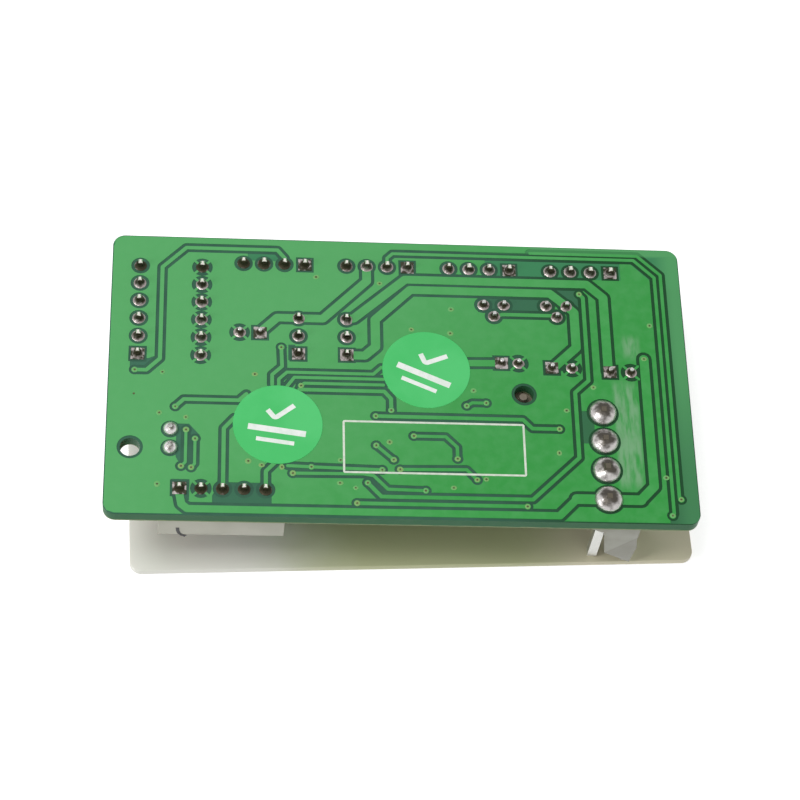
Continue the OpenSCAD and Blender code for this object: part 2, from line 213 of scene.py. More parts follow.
@dataclass(frozen=True)
class Finish:
    """A finish whose colour, gloss and fine relief vary gently over the surface."""

    name: str
    colour: Colour
    second: Colour
    patch: float = 2.0
    grain: float = 0.15
    relief: float = 0.01
    roughness: float = 0.4
    gloss_change: float = 0.15
    metallic: float = 0.0
    specular: float = 0.5
    coat: float = 0.0
    transmission: float = 0.0

    def colours(self, tree: Tree, place: Sock) -> Sock:
        """Returns the colour over the surface."""
        mask = tree.noise(place, self.patch).ramp(0.35, 0.68)
        return tree.blend(mask, self.colour, self.second)

    def glosses(self, tree: Tree, place: Sock) -> Sock:
        """Returns the roughness over the surface."""
        change = tree.noise(place, self.patch * 0.6) - 0.5
        return change * (2 * self.gloss_change) + self.roughness

    @functools.cache
    def material(self) -> bpy.types.Material:
        """Builds the material on its first use and keeps it.

        Returns:
            The material.
        """
        made = bpy.data.materials.new(self.name + "_finish")
        made.use_nodes = True
        made.node_tree.nodes.clear()
        tree = Tree(made.node_tree)
        place = tree.place()
        height = tree.noise(place, self.grain)
        bump = tree.node(
            "ShaderNodeBump", {}, {"Strength": 1.0, "Distance": self.relief * MM, "Height": height}
        )
        shade = tree.node(
            "ShaderNodeBsdfPrincipled",
            {},
            {
                "Base Color": self.colours(tree, place),
                "Roughness": self.glosses(tree, place),
                "Metallic": self.metallic,
                "Specular IOR Level": self.specular,
                "Coat Weight": self.coat,
                "Transmission Weight": self.transmission,
                "Normal": bump,
            },
        )
        tree.node("ShaderNodeOutputMaterial", {}, {"Surface": shade})
        return made


@dataclass(frozen=True)
class MaskOverCopper(Finish):
    """Green mask over copper: lighter and yellower at the left, partly mask tone and partly painted
    sheen, with pale smears.
    """

    # far: the colour at the right; the lighter, yellower left is partly painted sheen
    far: Colour = srgb(46, 150, 62)
    smear: Colour = srgb(140, 180, 144)
    fade: Point = (-26.0, 30.0)
    fleck_power: float = 0.25
    smear_power: float = 0.62

    def pale_patch(self, x: Sock, y: Sock, at: Point, reach: Point, edge: Point, steep: float) -> Sock:
        """Finds a pale patch with soft edges.

        Args:
            x: the distance to the right.
            y: the distance to the rear.
            at: the patch's middle.
            reach: how far it goes each way, times steep for x.
            edge: how wide its soft edges are, times steep for x.
            steep: how much narrower it is across than along.

        Returns:
            The patch, from 0 to 1.
        """
        across = (reach[0] - abs(x - at[0]) * steep).ramp(0.0, edge[0])
        return across * (reach[1] - abs(y - at[1])).ramp(0.0, edge[1])

    def colours(self, tree: Tree, place: Sock) -> Sock:
        """Mixes the mask's colour: yellower at the left, partly as painted sheen, flecked, smeared
        by the power header.

        Args:
            tree: the node tree to build in.
            place: the object coordinates in millimetres.

        Returns:
            The colour over the board.
        """
        x, y = tree.axis(place, 0), tree.axis(place, 1)
        # Left-to-right blend: partly the mask's own tone, partly painted sheen that lightens the
        # left.
        across = (x - y * 0.8 + (tree.noise(place, 14.0) - 0.5) * 26.0).ramp(*self.fade)
        base = tree.blend(across, self.colour, self.far)
        fleck = tree.noise(place, 1.4, 3.0).ramp(0.3, 0.75) * self.fleck_power
        base = tree.blend(fleck, base, self.second)
        streak = tree.noise(tree.stretch(place, (1.0, 0.2, 1.0)), 0.7, 4.0).ramp(0.3, 0.62)
        lower = self.pale_patch(x, y, (27.5, -7.4), (5.4, 8.2), (2.0, 2.4), 3.0)
        upper = self.pale_patch(x, y, (28.6, 5.0), (3.0, 2.2), (2.5, 1.6), 2.0)
        return tree.blend((lower + upper) * streak * self.smear_power, base, self.smear)


@dataclass(frozen=True)
class MaskOverOpen(MaskOverCopper):
    """Green mask over laminate without copper: paler along the right and rear edges."""

    rim: Colour = srgb(82, 160, 98)
    rear: Colour = srgb(56, 138, 88)
    rear_y: Point = (13.0, 14.5)
    right_x: Point = (31.8, 34.6)
    right_y: Point = (-14.0, 4.0)
    rim_y: Point = (18.1, 18.7)

    def colours(self, tree: Tree, place: Sock) -> Sock:
        """Adds the paler right strip and rear band to the mask's colour.

        Args:
            tree: the node tree to build in.
            place: the object coordinates in millimetres.

        Returns:
            The colour over the open fields.
        """
        x, y = tree.axis(place, 0), tree.axis(place, 1)
        tone = tree.blend(y.ramp(*self.rear_y) * 0.75, super().colours(tree, place), self.rear)
        right = x.ramp(*self.right_x) * (y.ramp(*self.right_y) * 0.5 + 0.35)
        return tree.blend(right.math("MAXIMUM", y.ramp(*self.rim_y)), tone, self.rim)


@dataclass(frozen=True)
class BareLaminate(Finish):
    """Mask over bare laminate: dark on top, darker at the sides as painted shade, pale at the lower
    rim.
    """

    # side: the darker green of the slab's edges, painted shade
    side: Colour = srgb(44, 104, 62)
    rim: Colour = srgb(140, 152, 112)
    under: Colour = srgb(66, 150, 80)
    far: Colour = srgb(30, 74, 44)
    faint: Colour = srgb(80, 158, 96)
    top_z: float = 15.38
    under_z: float = 13.82
    rim_z: float = 13.98
    far_x: Point = (6.0, 26.0)
    faint_x: Point = (6.0, 14.0)
    faint_y: Point = (18.2, 18.7)

    def colours(self, tree: Tree, place: Sock) -> Sock:
        """Mixes the colours of the slab's top, sides, lower rim and underside; the sides' darker
        green is painted shade.

        Args:
            tree: the node tree to build in.
            place: the object coordinates in millimetres.

        Returns:
            The colour over the board's slab.
        """
        x, y, z = (tree.axis(place, i) for i in range(3))
        mask = tree.noise(place, self.patch).ramp(0.3, 0.7)
        top = tree.blend(mask, self.colour, self.second)
        top = tree.blend(x.ramp(*self.far_x), top, self.far)
        faint = y.ramp(*self.faint_y) * x.ramp(*self.faint_x)
        top = tree.blend(faint * 0.7, top, self.faint)
        glass = tree.noise(tree.stretch(place, (1.0, 1.0, 6.0)), 0.5).ramp(0.3, 0.7)
        # The sides' darker green is painted shade, streaked by the glass weave.
        side = tree.blend(glass * 0.5, self.side, self.colour)
        low = z + (tree.noise(place, 1.2) - 0.5) * 0.3
        side = tree.blend(1.0 - low.ramp(self.rim_z - 0.03, self.rim_z + 0.05), side, self.rim)
        side = tree.blend(1.0 - z.ramp(self.under_z - 0.01, self.under_z), side, self.under)
        return tree.blend(z.ramp(self.top_z - 0.01, self.top_z), side, top)


@dataclass(frozen=True)
class CurledNylon(Finish):
    """Natural nylon with painted shade where the ear curls to the rear past its fold."""

    # thin: the colour of the painted shade on the curled part and along the crease
    thin: Colour = srgb(124, 122, 108)
    fold: Point = (25.4, 5.2)
    front_y: float = -17.5

    def colours(self, tree: Tree, place: Sock) -> Sock:
        """Paints shade on the ear past its fold, and deeper shade along the fold itself.

        Args:
            tree: the node tree to build in.
            place: the object coordinates in millimetres.

        Returns:
            The colour over the header's base.
        """
        x, y, z = (tree.axis(place, i) for i in range(3))
        past = (x - self.fold[0]) * EAR_ACROSS[0] + (z - self.fold[1]) * EAR_ACROSS[2]
        curled = past.ramp(-0.12, 0.12) * (1.0 - y.ramp(self.front_y - 0.3, self.front_y))
        crease_shade = 1.0 - abs(past).ramp(0.0, 0.35)
        tone = tree.blend(curled * 0.75, super().colours(tree, place), self.thin)
        return tree.blend(crease_shade * curled * 0.5, tone, self.thin)


@dataclass(frozen=True)
class MilkySheet(Finish):
    """Milky sheet: bright at the left, greyer to the right, with the board's painted shadow and
    painted green bounce light under the board.
    """

    # shade: the sheet in the board's painted shadow, tinted green by painted bounce light
    shade: Colour = srgb(198, 201, 158)
    warm: Colour = srgb(228, 221, 192)
    middle_x: Point = (-20.0, -4.0)
    warm_x: Point = (14.0, 26.0)
    board_shadow_x: Point = (-12.0, 0.0)
    board_shadow_end_x: Point = (10.0, 20.0)
    board_shadow_y: Point = (-18.5, -13.5)
    board_shadow_power: float = 0.6

    def colours(self, tree: Tree, place: Sock) -> Sock:
        """Mixes the sheet's three tones from left to right, with the board's painted shadow deeper
        under it.

        Args:
            tree: the node tree to build in.
            place: the object coordinates in millimetres.

        Returns:
            The colour over the sheet.
        """
        x, y = tree.axis(place, 0), tree.axis(place, 1)
        cloud = (tree.noise(place, 9.0) - 0.5) * 8.0
        along = x + cloud
        tone = tree.blend(along.ramp(*self.middle_x), self.colour, self.shade)
        tone = tree.blend(along.ramp(*self.warm_x), tone, self.warm)
        # Painted shadow of the board: deepest towards the rear, fading out at the right.
        under = along.ramp(*self.board_shadow_x) * (1.0 - along.ramp(*self.board_shadow_end_x))
        board_shadow = (y + cloud * 0.2).ramp(*self.board_shadow_y) * under
        return tree.blend(board_shadow * self.board_shadow_power, tone, self.second)


@dataclass(frozen=True)
class Tarnished(Finish):
    """Metal with dull brown patches that shine less."""

    amount: float = 0.5

    def stain_and_shade(self, tree: Tree, place: Sock) -> Sock:
        """Returns where the metal is dull."""
        edge = 0.72 - self.amount * 0.4
        return tree.noise(place, self.patch, 4.0).ramp(edge - 0.08, edge + 0.1)

    def colours(self, tree: Tree, place: Sock) -> Sock:
        """Returns the metal's colour with its stains; in joints these include painted shade towards
        the pin.
        """
        return tree.blend(self.stain_and_shade(tree, place), self.colour, self.second)

    def glosses(self, tree: Tree, place: Sock) -> Sock:
        """Returns a roughness that is higher in the stains, and where joints and pins are painted
        dark.
        """
        return self.stain_and_shade(tree, place) * self.gloss_change + self.roughness


@dataclass(frozen=True)
class Joint(Tarnished):
    """Solder that is bright at the rim and darker towards the pin as painted shade, with dull
    patches and flux on some joints.
    """

    burnt: float = 0.0
    rear_y: Point = (13.0, 14.5)
    rear_x: Point = (-9.0, -4.0)
    front_y: Point = (-15.0, -14.0)
    front_x: Point = (-14.0, -10.0)
    edge: Point = (-0.2, 0.3)

    def stain_and_shade(self, tree: Tree, place: Sock) -> Sock:
        """Finds where the joint is dark: painted shade near the pin, dull patches, and flux on some
        joints.

        Args:
            tree: the node tree to build in.
            place: the object coordinates in millimetres.

        Returns:
            The stain and painted shade, from 0 to 1.
        """
        # ring: darker towards the pin as painted shade in the hollow of the fillet
        ring = tree.node("ShaderNodeAttribute", {"attribute_name": "ring"}, {}, "Fac")
        cloud = (tree.noise(place, self.patch, 4.0) - 0.5) * 1.1
        x, y = tree.axis(place, 0), tree.axis(place, 1)
        rear = y.ramp(*self.rear_y) * (1.0 - x.ramp(*self.rear_x))
        front = (1.0 - y.ramp(*self.front_y)) * (1.0 - x.ramp(*self.front_x))
        burnt = rear.math("MAXIMUM", front) * self.burnt
        return 1.0 - (ring + cloud - self.amount - burnt).ramp(*self.edge)


@dataclass(frozen=True)
class DippedPin(Tarnished):
    """Pin with a bright tip, a painted dark band above the board that stands in for the dark
    reflections on its sides, and clean below the board.
    """

    clean: Colour = srgb(214, 214, 210)
    tip_z: float = 16.4
    board_z: float = 14.8

    def stain_and_shade(self, tree: Tree, place: Sock) -> Sock:
        """Finds where the pin is painted dark: between the board and its tip.

        Args:
            tree: the node tree to build in.
            place: the object coordinates in millimetres.

        Returns:
            The painted dark band, from 0 to 1.
        """
        z = tree.axis(place, 2) + (tree.noise(place, 0.7) - 0.5) * 0.35
        above = z.ramp(self.board_z, self.board_z + 0.1)
        return above * (1.0 - z.ramp(self.tip_z, self.tip_z + 0.12))

    def colours(self, tree: Tree, place: Sock) -> Sock:
        """Mixes the pin's bright metal, its clean metal below the board and the painted dark band.

        Args:
            tree: the node tree to build in.
            place: the object coordinates in millimetres.

        Returns:
            The pin's colour.
        """
        below = 1.0 - tree.axis(place, 2).ramp(self.board_z, self.board_z + 0.1)
        bright = tree.blend(below, self.colour, self.clean)
        return tree.blend(self.stain_and_shade(tree, place), bright, self.second)


@dataclass(frozen=True)
class Sleeve(Finish):
    """Shrunk plastic sleeve with a pale stripe down the side that faces the front."""

    stripe: Colour = srgb(188, 196, 206)
    dash_step: float = 2.4
    stripe_edge: Point = (0.86, 0.88)
    inner_edge: Point = (0.97, 0.975)

    def colours(self, tree: Tree, place: Sock) -> Sock:
        """Draws the stripe and its dashes on the sleeve.

        Args:
            tree: the node tree to build in.
            place: the object coordinates in millimetres.

        Returns:
            The sleeve's colour.
        """
        facing = tree.node("ShaderNodeAttribute", {"attribute_name": "facing"}, {}, "Fac")
        band = facing.ramp(*self.stripe_edge)
        z = tree.axis(place, 2)
        dash = abs((z / self.dash_step).math("FRACT") - 0.5).ramp(0.2, 0.22)
        inner = facing.ramp(*self.inner_edge) * (1.0 - dash)
        cloth = tree.blend(tree.noise(place, self.patch), self.colour, self.second)
        return tree.blend(band * (1.0 - inner), cloth, self.stripe)


class Palette:
    """The finishes of this object."""

    # In the mask finishes the blend from colour to far runs left to right and is partly painted
    # sheen.
    MASK = MaskOverCopper(
        "green_mask_on_copper", srgb(85, 169, 99), srgb(94, 174, 107), roughness=0.34,
        gloss_change=0.1, relief=0.008, grain=0.6, specular=0.3,
    )
    TRACK = MaskOverCopper(
        "green_mask_on_tracks", srgb(87, 171, 100), srgb(96, 178, 109), far=srgb(52, 155, 68),
        roughness=0.34, gloss_change=0.1, relief=0.008, grain=0.6, specular=0.3,
    )
    OPEN = MaskOverOpen(
        "green_mask_on_open_board", srgb(54, 108, 84), srgb(48, 100, 76), far=srgb(42, 104, 64),
        roughness=0.36, gloss_change=0.1, relief=0.008, grain=0.6, specular=0.3,
    )
    BARE = BareLaminate(
        "green_mask_on_laminate", srgb(54, 94, 76), srgb(60, 104, 82), patch=3.0,
        roughness=0.45, gloss_change=0.1, specular=0.12,
    )
    VIA_RING = Finish(
        "via_ring_mask", srgb(106, 176, 104), srgb(132, 172, 102), roughness=0.34, specular=0.3
    )
    VIA_HOLE = Finish(
        "via_hole_shadow", srgb(62, 70, 32), srgb(88, 86, 44), patch=0.3, roughness=0.5
    )
    # Joint finishes: second is the colour of dull patches, flux and the painted shade towards the
    # pin.
    SOLDER = Joint(
        "dull_solder", srgb(164, 154, 152), srgb(60, 56, 40), patch=0.6, roughness=0.28,
        gloss_change=0.3, metallic=0.75, grain=0.3, relief=0.05, amount=0.7, burnt=0.42,
    )
    PAD = Tarnished(
        "square_pad_solder", srgb(184, 176, 174), srgb(60, 60, 46), patch=0.7, roughness=0.3,
        gloss_change=0.25, metallic=0.75, grain=0.3, relief=0.05, amount=0.62,
    )
    DOME = Joint(
        "power_solder", srgb(202, 198, 196), srgb(76, 72, 66), patch=0.9, roughness=0.24,
        gloss_change=0.2, metallic=0.85, grain=0.5, relief=0.06, amount=0.62,
    )
    BEAD = Joint(
        "bright_solder", srgb(222, 218, 218), srgb(96, 92, 84), patch=0.9, roughness=0.18,
        gloss_change=0.2, metallic=0.85, grain=0.6, relief=0.05, amount=0.42,
    )
    # Pin finishes: second is the painted dark reflection between the board and the tip.
    PIN = DippedPin(
        "tinned_pin", srgb(236, 232, 224), srgb(70, 68, 50), roughness=0.2,
        gloss_change=0.3, metallic=0.8, grain=0.3, relief=0.006,
    )
    POWER_PIN = DippedPin(
        "power_pin", srgb(206, 202, 194), srgb(92, 86, 74), patch=0.8, roughness=0.26,
        gloss_change=0.25, metallic=0.7, grain=0.3, relief=0.02, tip_z=17.5,
    )
    GOLD_PIN = DippedPin(
        "gilt_pin", srgb(240, 236, 228), srgb(52, 44, 34), roughness=0.16,
        gloss_change=0.3, metallic=0.9, grain=0.3, relief=0.006, clean=srgb(222, 184, 100),
    )
    TIN = Tarnished(
        "tinned_lead", srgb(200, 200, 198), srgb(140, 138, 132), patch=1.5, roughness=0.22,
        gloss_change=0.2, metallic=1.0, amount=0.3,
    )
    GOLD = Tarnished(
        "gold_flash", srgb(224, 186, 104), srgb(176, 136, 74), patch=1.2, roughness=0.22,
        gloss_change=0.2, metallic=1.0, amount=0.3,
    )
    NATURAL = CurledNylon(
        "natural_nylon", srgb(152, 152, 139), srgb(131, 129, 112), patch=4.0, roughness=0.42,
        coat=0.1, grain=0.4, relief=0.01,
    )
    WHITE = Finish(
        "white_nylon", srgb(184, 183, 168), srgb(172, 171, 155), patch=5.0, roughness=0.4,
        grain=0.3, relief=0.01,
    )
    BLUE = Finish(
        "blue_switch_cover", srgb(24, 70, 158), srgb(34, 84, 176), patch=3.0, roughness=0.38,
        grain=0.12, relief=0.015,
    )
    BLACK = Finish(
        "black_moulding", srgb(26, 26, 27), srgb(40, 40, 42), patch=2.0, roughness=0.5,
        grain=0.1, relief=0.02,
    )
    RUBBER = Finish(
        "black_rubber", srgb(20, 20, 20), srgb(34, 33, 32), roughness=0.75, grain=0.2, relief=0.03
    )
    SLEEVE = Sleeve(
        "shrunk_sleeve", srgb(22, 26, 44), srgb(32, 38, 60), patch=3.0, roughness=0.3,
        coat=0.3, grain=0.6, relief=0.012,
    )
    CAN_END = Finish(
        "drawn_can_end", srgb(196, 197, 199), srgb(168, 168, 170), metallic=1.0, roughness=0.35,
        grain=0.08, relief=0.02,
    )
    LENS = Finish(
        "red_lens", srgb(196, 26, 20), srgb(220, 44, 30), patch=4.0, roughness=0.12,
        transmission=0.35, coat=0.2, relief=0.004,
    )
    RESISTOR = Finish(
        "chip_resistor_glaze", srgb(22, 22, 24), srgb(38, 38, 40), roughness=0.25, grain=0.1
    )
    CERAMIC = Finish(
        "chip_capacitor_ceramic", srgb(170, 142, 104), srgb(148, 120, 86), patch=0.7, roughness=0.45
    )
    STICKER = Finish(
        "green_vinyl", srgb(70, 196, 106), srgb(82, 203, 116), patch=6.0, roughness=0.36,
        gloss_change=0.06, grain=0.3, relief=0.006, specular=0.4,
    )
    INK = Finish("white_ink", srgb(226, 232, 218), srgb(204, 218, 200), patch=0.6, roughness=0.6)
    MARK = Finish(
        "sticker_print", srgb(244, 248, 244), srgb(228, 240, 230), patch=0.8, roughness=0.5
    )
    PEN = Finish("pen_ink", srgb(18, 18, 20), srgb(34, 34, 38), patch=0.4, roughness=0.5)
    # second: the deepest painted shadow of the board on the sheet
    SHEET = MilkySheet(
        "milky_sheet", srgb(240, 239, 230), srgb(184, 188, 142), patch=6.0, roughness=0.4,
        gloss_change=0.1, grain=1.2, relief=0.02, coat=0.1,
    )
    POST = Finish("nylon_post", srgb(132, 122, 106), srgb(112, 102, 88), patch=2.0, roughness=0.4)


# --- meshes -------------------------------------------------------------------------


def placed(name: str, data: bpy.types.ID) -> Obj:
    """Makes an object at the origin and links it to the scene.

    Args:
        name: the object's name.
        data: its mesh, lamp or camera.

    Returns:
        The object.
    """
    made = bpy.data.objects.new(name, data)
    bpy.context.scene.collection.objects.link(made)
    return made


def settled(name: str, mesh: BMesh) -> bpy.types.Mesh:
    """Turns a working mesh into mesh data and frees it.

    Args:
        name: the data's name.
        mesh: the working mesh.

    Returns:
        The mesh data.
    """
    data = bpy.data.meshes.new(name)
    mesh.to_mesh(data)
    mesh.free()
    return data


def piece(name: str, mesh: BMesh, finish: Finish) -> Obj:
    """Makes an object at the origin.

    Args:
        name: the piece's name.
        mesh: its mesh, in metres, in the shared frame, which is freed.
        finish: what it is made of.

    Returns:
        The new object, linked to the scene.
    """
    data = settled(name, mesh)
    data.materials.append(finish.material())
    return placed(name, data)


def seat(made: Obj, body: str, slot: str, *stands_for: str) -> Obj:
    """Ties a finished piece to the frame.

    Args:
        made: the piece.
        body: the CAD body that it rides on.
        slot: the record's material slot; not used.
        stands_for: CAD nodes that it replaces.

    Returns:
        The piece.
    """
    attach(made, body)
    if stands_for:
        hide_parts(*stands_for)
    faces = len(made.data.polygons)
    LOG.info("%s: %d faces on %s", made.name, faces, body)
    return made


def merged(node: str) -> BMesh:
    """Copies a CAD node's mesh and joins its loose triangles.

    Args:
        node: the CAD node.

    Returns:
        The copy, in the shared frame.
    """
    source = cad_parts[node]
    mesh = bmesh.new()
    mesh.from_mesh(source.data)
    mesh.transform(source.matrix_world)
    bmesh.ops.remove_doubles(mesh, verts=mesh.verts, dist=1e-7)
    return mesh


def islands(node: str) -> list[Box]:
    """Finds the separate solids of a CAD node.

    Args:
        node: the CAD node.

    Returns:
        The box of each solid, from left to right.
    """
    mesh = merged(node)
    left = set(mesh.verts)
    boxes = []
    while left:
        queue = [left.pop()]
        group = list(queue)
        while queue:
            for edge in queue.pop().link_edges:
                for vert in edge.verts:
                    if vert in left:
                        left.remove(vert)
                        queue.append(vert)
                        group.append(vert)
        axes = [[vert.co[i] for vert in group] for i in range(3)]
        boxes.append((Vector(map(min, axes)), Vector(map(max, axes))))
    mesh.free()
    return sorted(boxes, key=lambda box: (round(box[0].x, 5), round(box[0].y, 5)))


def middle(box: Box) -> Vector:
    """Returns a box's centre."""
    return (box[0] + box[1]) / 2


def upright(node: str) -> tuple[Vector, float, float, float]:
    """Measures a round CAD node that stands upright.

    Args:
        node: the CAD node.

    Returns:
        Its axis at height zero in metres, then its radius, foot and top in millimetres.
    """
    low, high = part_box(node)
    axis = Vector(((low.x + high.x) / 2, (low.y + high.y) / 2, 0.0))
    return axis, (high.x - low.x) / 2 / MM, low.z / MM, high.z / MM


def softened(node: str, finish: Finish, edge: float, steps: int = 2) -> Obj:
    """Copies a CAD node and rounds its edges.

    Args:
        node: the CAD node.
        finish: what the copy is made of.
        edge: the rounding in millimetres.
        steps: how many faces round an edge.

    Returns:
        The new piece, named after the node.
    """
    mesh = merged(node)
    bmesh.ops.dissolve_limit(mesh, angle_limit=0.02, verts=mesh.verts, edges=mesh.edges)
    sharp = [e for e in mesh.edges if len(e.link_faces) == 2 and e.calc_face_angle() > 0.6]
    bmesh.ops.bevel(
        mesh, geom=sharp, offset=edge * MM, segments=steps, profile=0.6, affect="EDGES",
        clamp_overlap=True,
    )
    smooth(mesh)
    return piece(node + "_soft", mesh, finish)


def dress(
    node: str, finish: Finish, edge: float, slot: str, body: str = "board", steps: int = 2
) -> Obj:
    """Puts a copy of a CAD node with rounded edges in the node's place."""
    return seat(softened(node, finish, edge, steps), body, slot, node)


def lathe(profile: Sequence[Point], turns: int = 16) -> BMesh:
    """Turns a profile round the vertical axis.

    Args:
        profile: radius and height pairs in millimetres, from pole to pole.
        turns: how many steps round the axis.

    Returns:
        A closed mesh. Its "ring" attribute runs from 0 at the axis to 1 at the widest ring, and
        "facing" is 1 where the side faces the front.
    """
    mesh = bmesh.new()
    ring_layer = mesh.verts.layers.float.new("ring")
    facing_layer = mesh.verts.layers.float.new("facing")
    widest = max(radius for radius, _ in profile)
    rings = []
    for radius, height in profile:
        steps = [2 * math.pi * i / turns for i in range(turns if radius > 0 else 1)]
        rings.append(
            [
                mesh.verts.new((radius * math.cos(a) * MM, radius * math.sin(a) * MM, height * MM))
                for a in steps
            ]
        )
    for low, high in zip(rings, rings[1:]):
        for i in range(turns):
            corners = [low[i % len(low)], low[(i + 1) % len(low)]]
            corners += [high[(i + 1) % len(high)], high[i % len(high)]]
            kept = list(dict.fromkeys(corners))
            if len(kept) > 2:
                mesh.faces.new(kept)
    for (radius, _), ring in zip(profile, rings):
        for i, vert in enumerate(ring):
            vert[ring_layer] = radius / widest
            vert[facing_layer] = -math.sin(2 * math.pi * i / turns)
    bmesh.ops.recalc_face_normals(mesh, faces=mesh.faces)
    smooth(mesh)
    return mesh


def smooth(mesh: BMesh, angle: float = 0.7) -> None:
    """Shades a mesh smooth apart from its sharp edges.

    Args:
        mesh: the mesh, which is changed in place.
        angle: the least angle of a sharp edge, in radians.
    """
    for face in mesh.faces:
        face.smooth = True
    for line in mesh.edges:
        line.smooth = len(line.link_faces) == 2 and line.calc_face_angle() < angle


def lumpy(mesh: BMesh, amount: float, seed: int) -> BMesh:
    """Moves each vertex a little, the same way each run.

    Args:
        mesh: the mesh, which is changed in place.
        amount: the largest move on each axis, in millimetres.
        seed: the seed of the moves.

    Returns:
        The same mesh.
    """
    dice = random.Random(seed)
    for vert in mesh.verts:
        vert.co += Vector([dice.uniform(-amount, amount) * MM for _ in range(3)])
    return mesh


def block(size: Sequence[float], at: Vector, edge: float = 0.0) -> BMesh:
    """Makes a box with rounded edges.

    Args:
        size: its three sides in millimetres.
        at: its centre in metres.
        edge: the rounding in millimetres.

    Returns:
        The mesh.
    """
    mesh = bmesh.new()
    bmesh.ops.create_cube(mesh, size=1.0)
    scale = Matrix.Diagonal([s * MM for s in size] + [1.0])
    mesh.transform(Matrix.Translation(at) @ scale)
    if edge:
        bmesh.ops.bevel(
            mesh, geom=mesh.edges[:], offset=edge * MM, segments=2, profile=0.6, affect="EDGES"
        )
    return mesh


def joined(parts: Iterable[BMesh]) -> BMesh:
    """Puts meshes into one.

    Args:
        parts: the meshes, which are freed.

    Returns:
        The new mesh.
    """
    whole = bmesh.new()
    for part in parts:
        data = settled("part", part)
        whole.from_mesh(data)
        bpy.data.meshes.remove(data)
    return whole


def tapered_bar(side: float, length: float, taper: float) -> BMesh:
    """Makes a square bar from z 0 up, with both ends cut to blunt pyramids.

    Args:
        side: its thickness in millimetres.
        length: its length in millimetres.
        taper: how far each end draws in, in millimetres.

    Returns:
        The mesh.
    """
    tip = side / 2 - taper
    cut = taper * 1.6
    rings = [(tip, 0.0), (side / 2, cut), (side / 2, length - cut), (tip, length)]
    turns = ((-1, -1), (1, -1), (1, 1), (-1, 1))
    mesh = bmesh.new()
    loops = [
        [mesh.verts.new((x * r * MM, y * r * MM, z * MM)) for x, y in turns] for r, z in rings
    ]
    for low, high in zip(loops, loops[1:]):
        for i in range(4):
            mesh.faces.new((low[i], low[(i + 1) % 4], high[(i + 1) % 4], high[i]))
    mesh.faces.new(loops[-1])
    mesh.faces.new(loops[0][::-1])
    corners = [e for e in mesh.edges if e.calc_face_angle() > 0.2]
    bmesh.ops.bevel(mesh, geom=corners, offset=0.04 * MM, segments=1, profile=0.5, affect="EDGES")
    return mesh


# --- geometry nodes -----------------------------------------------------------------


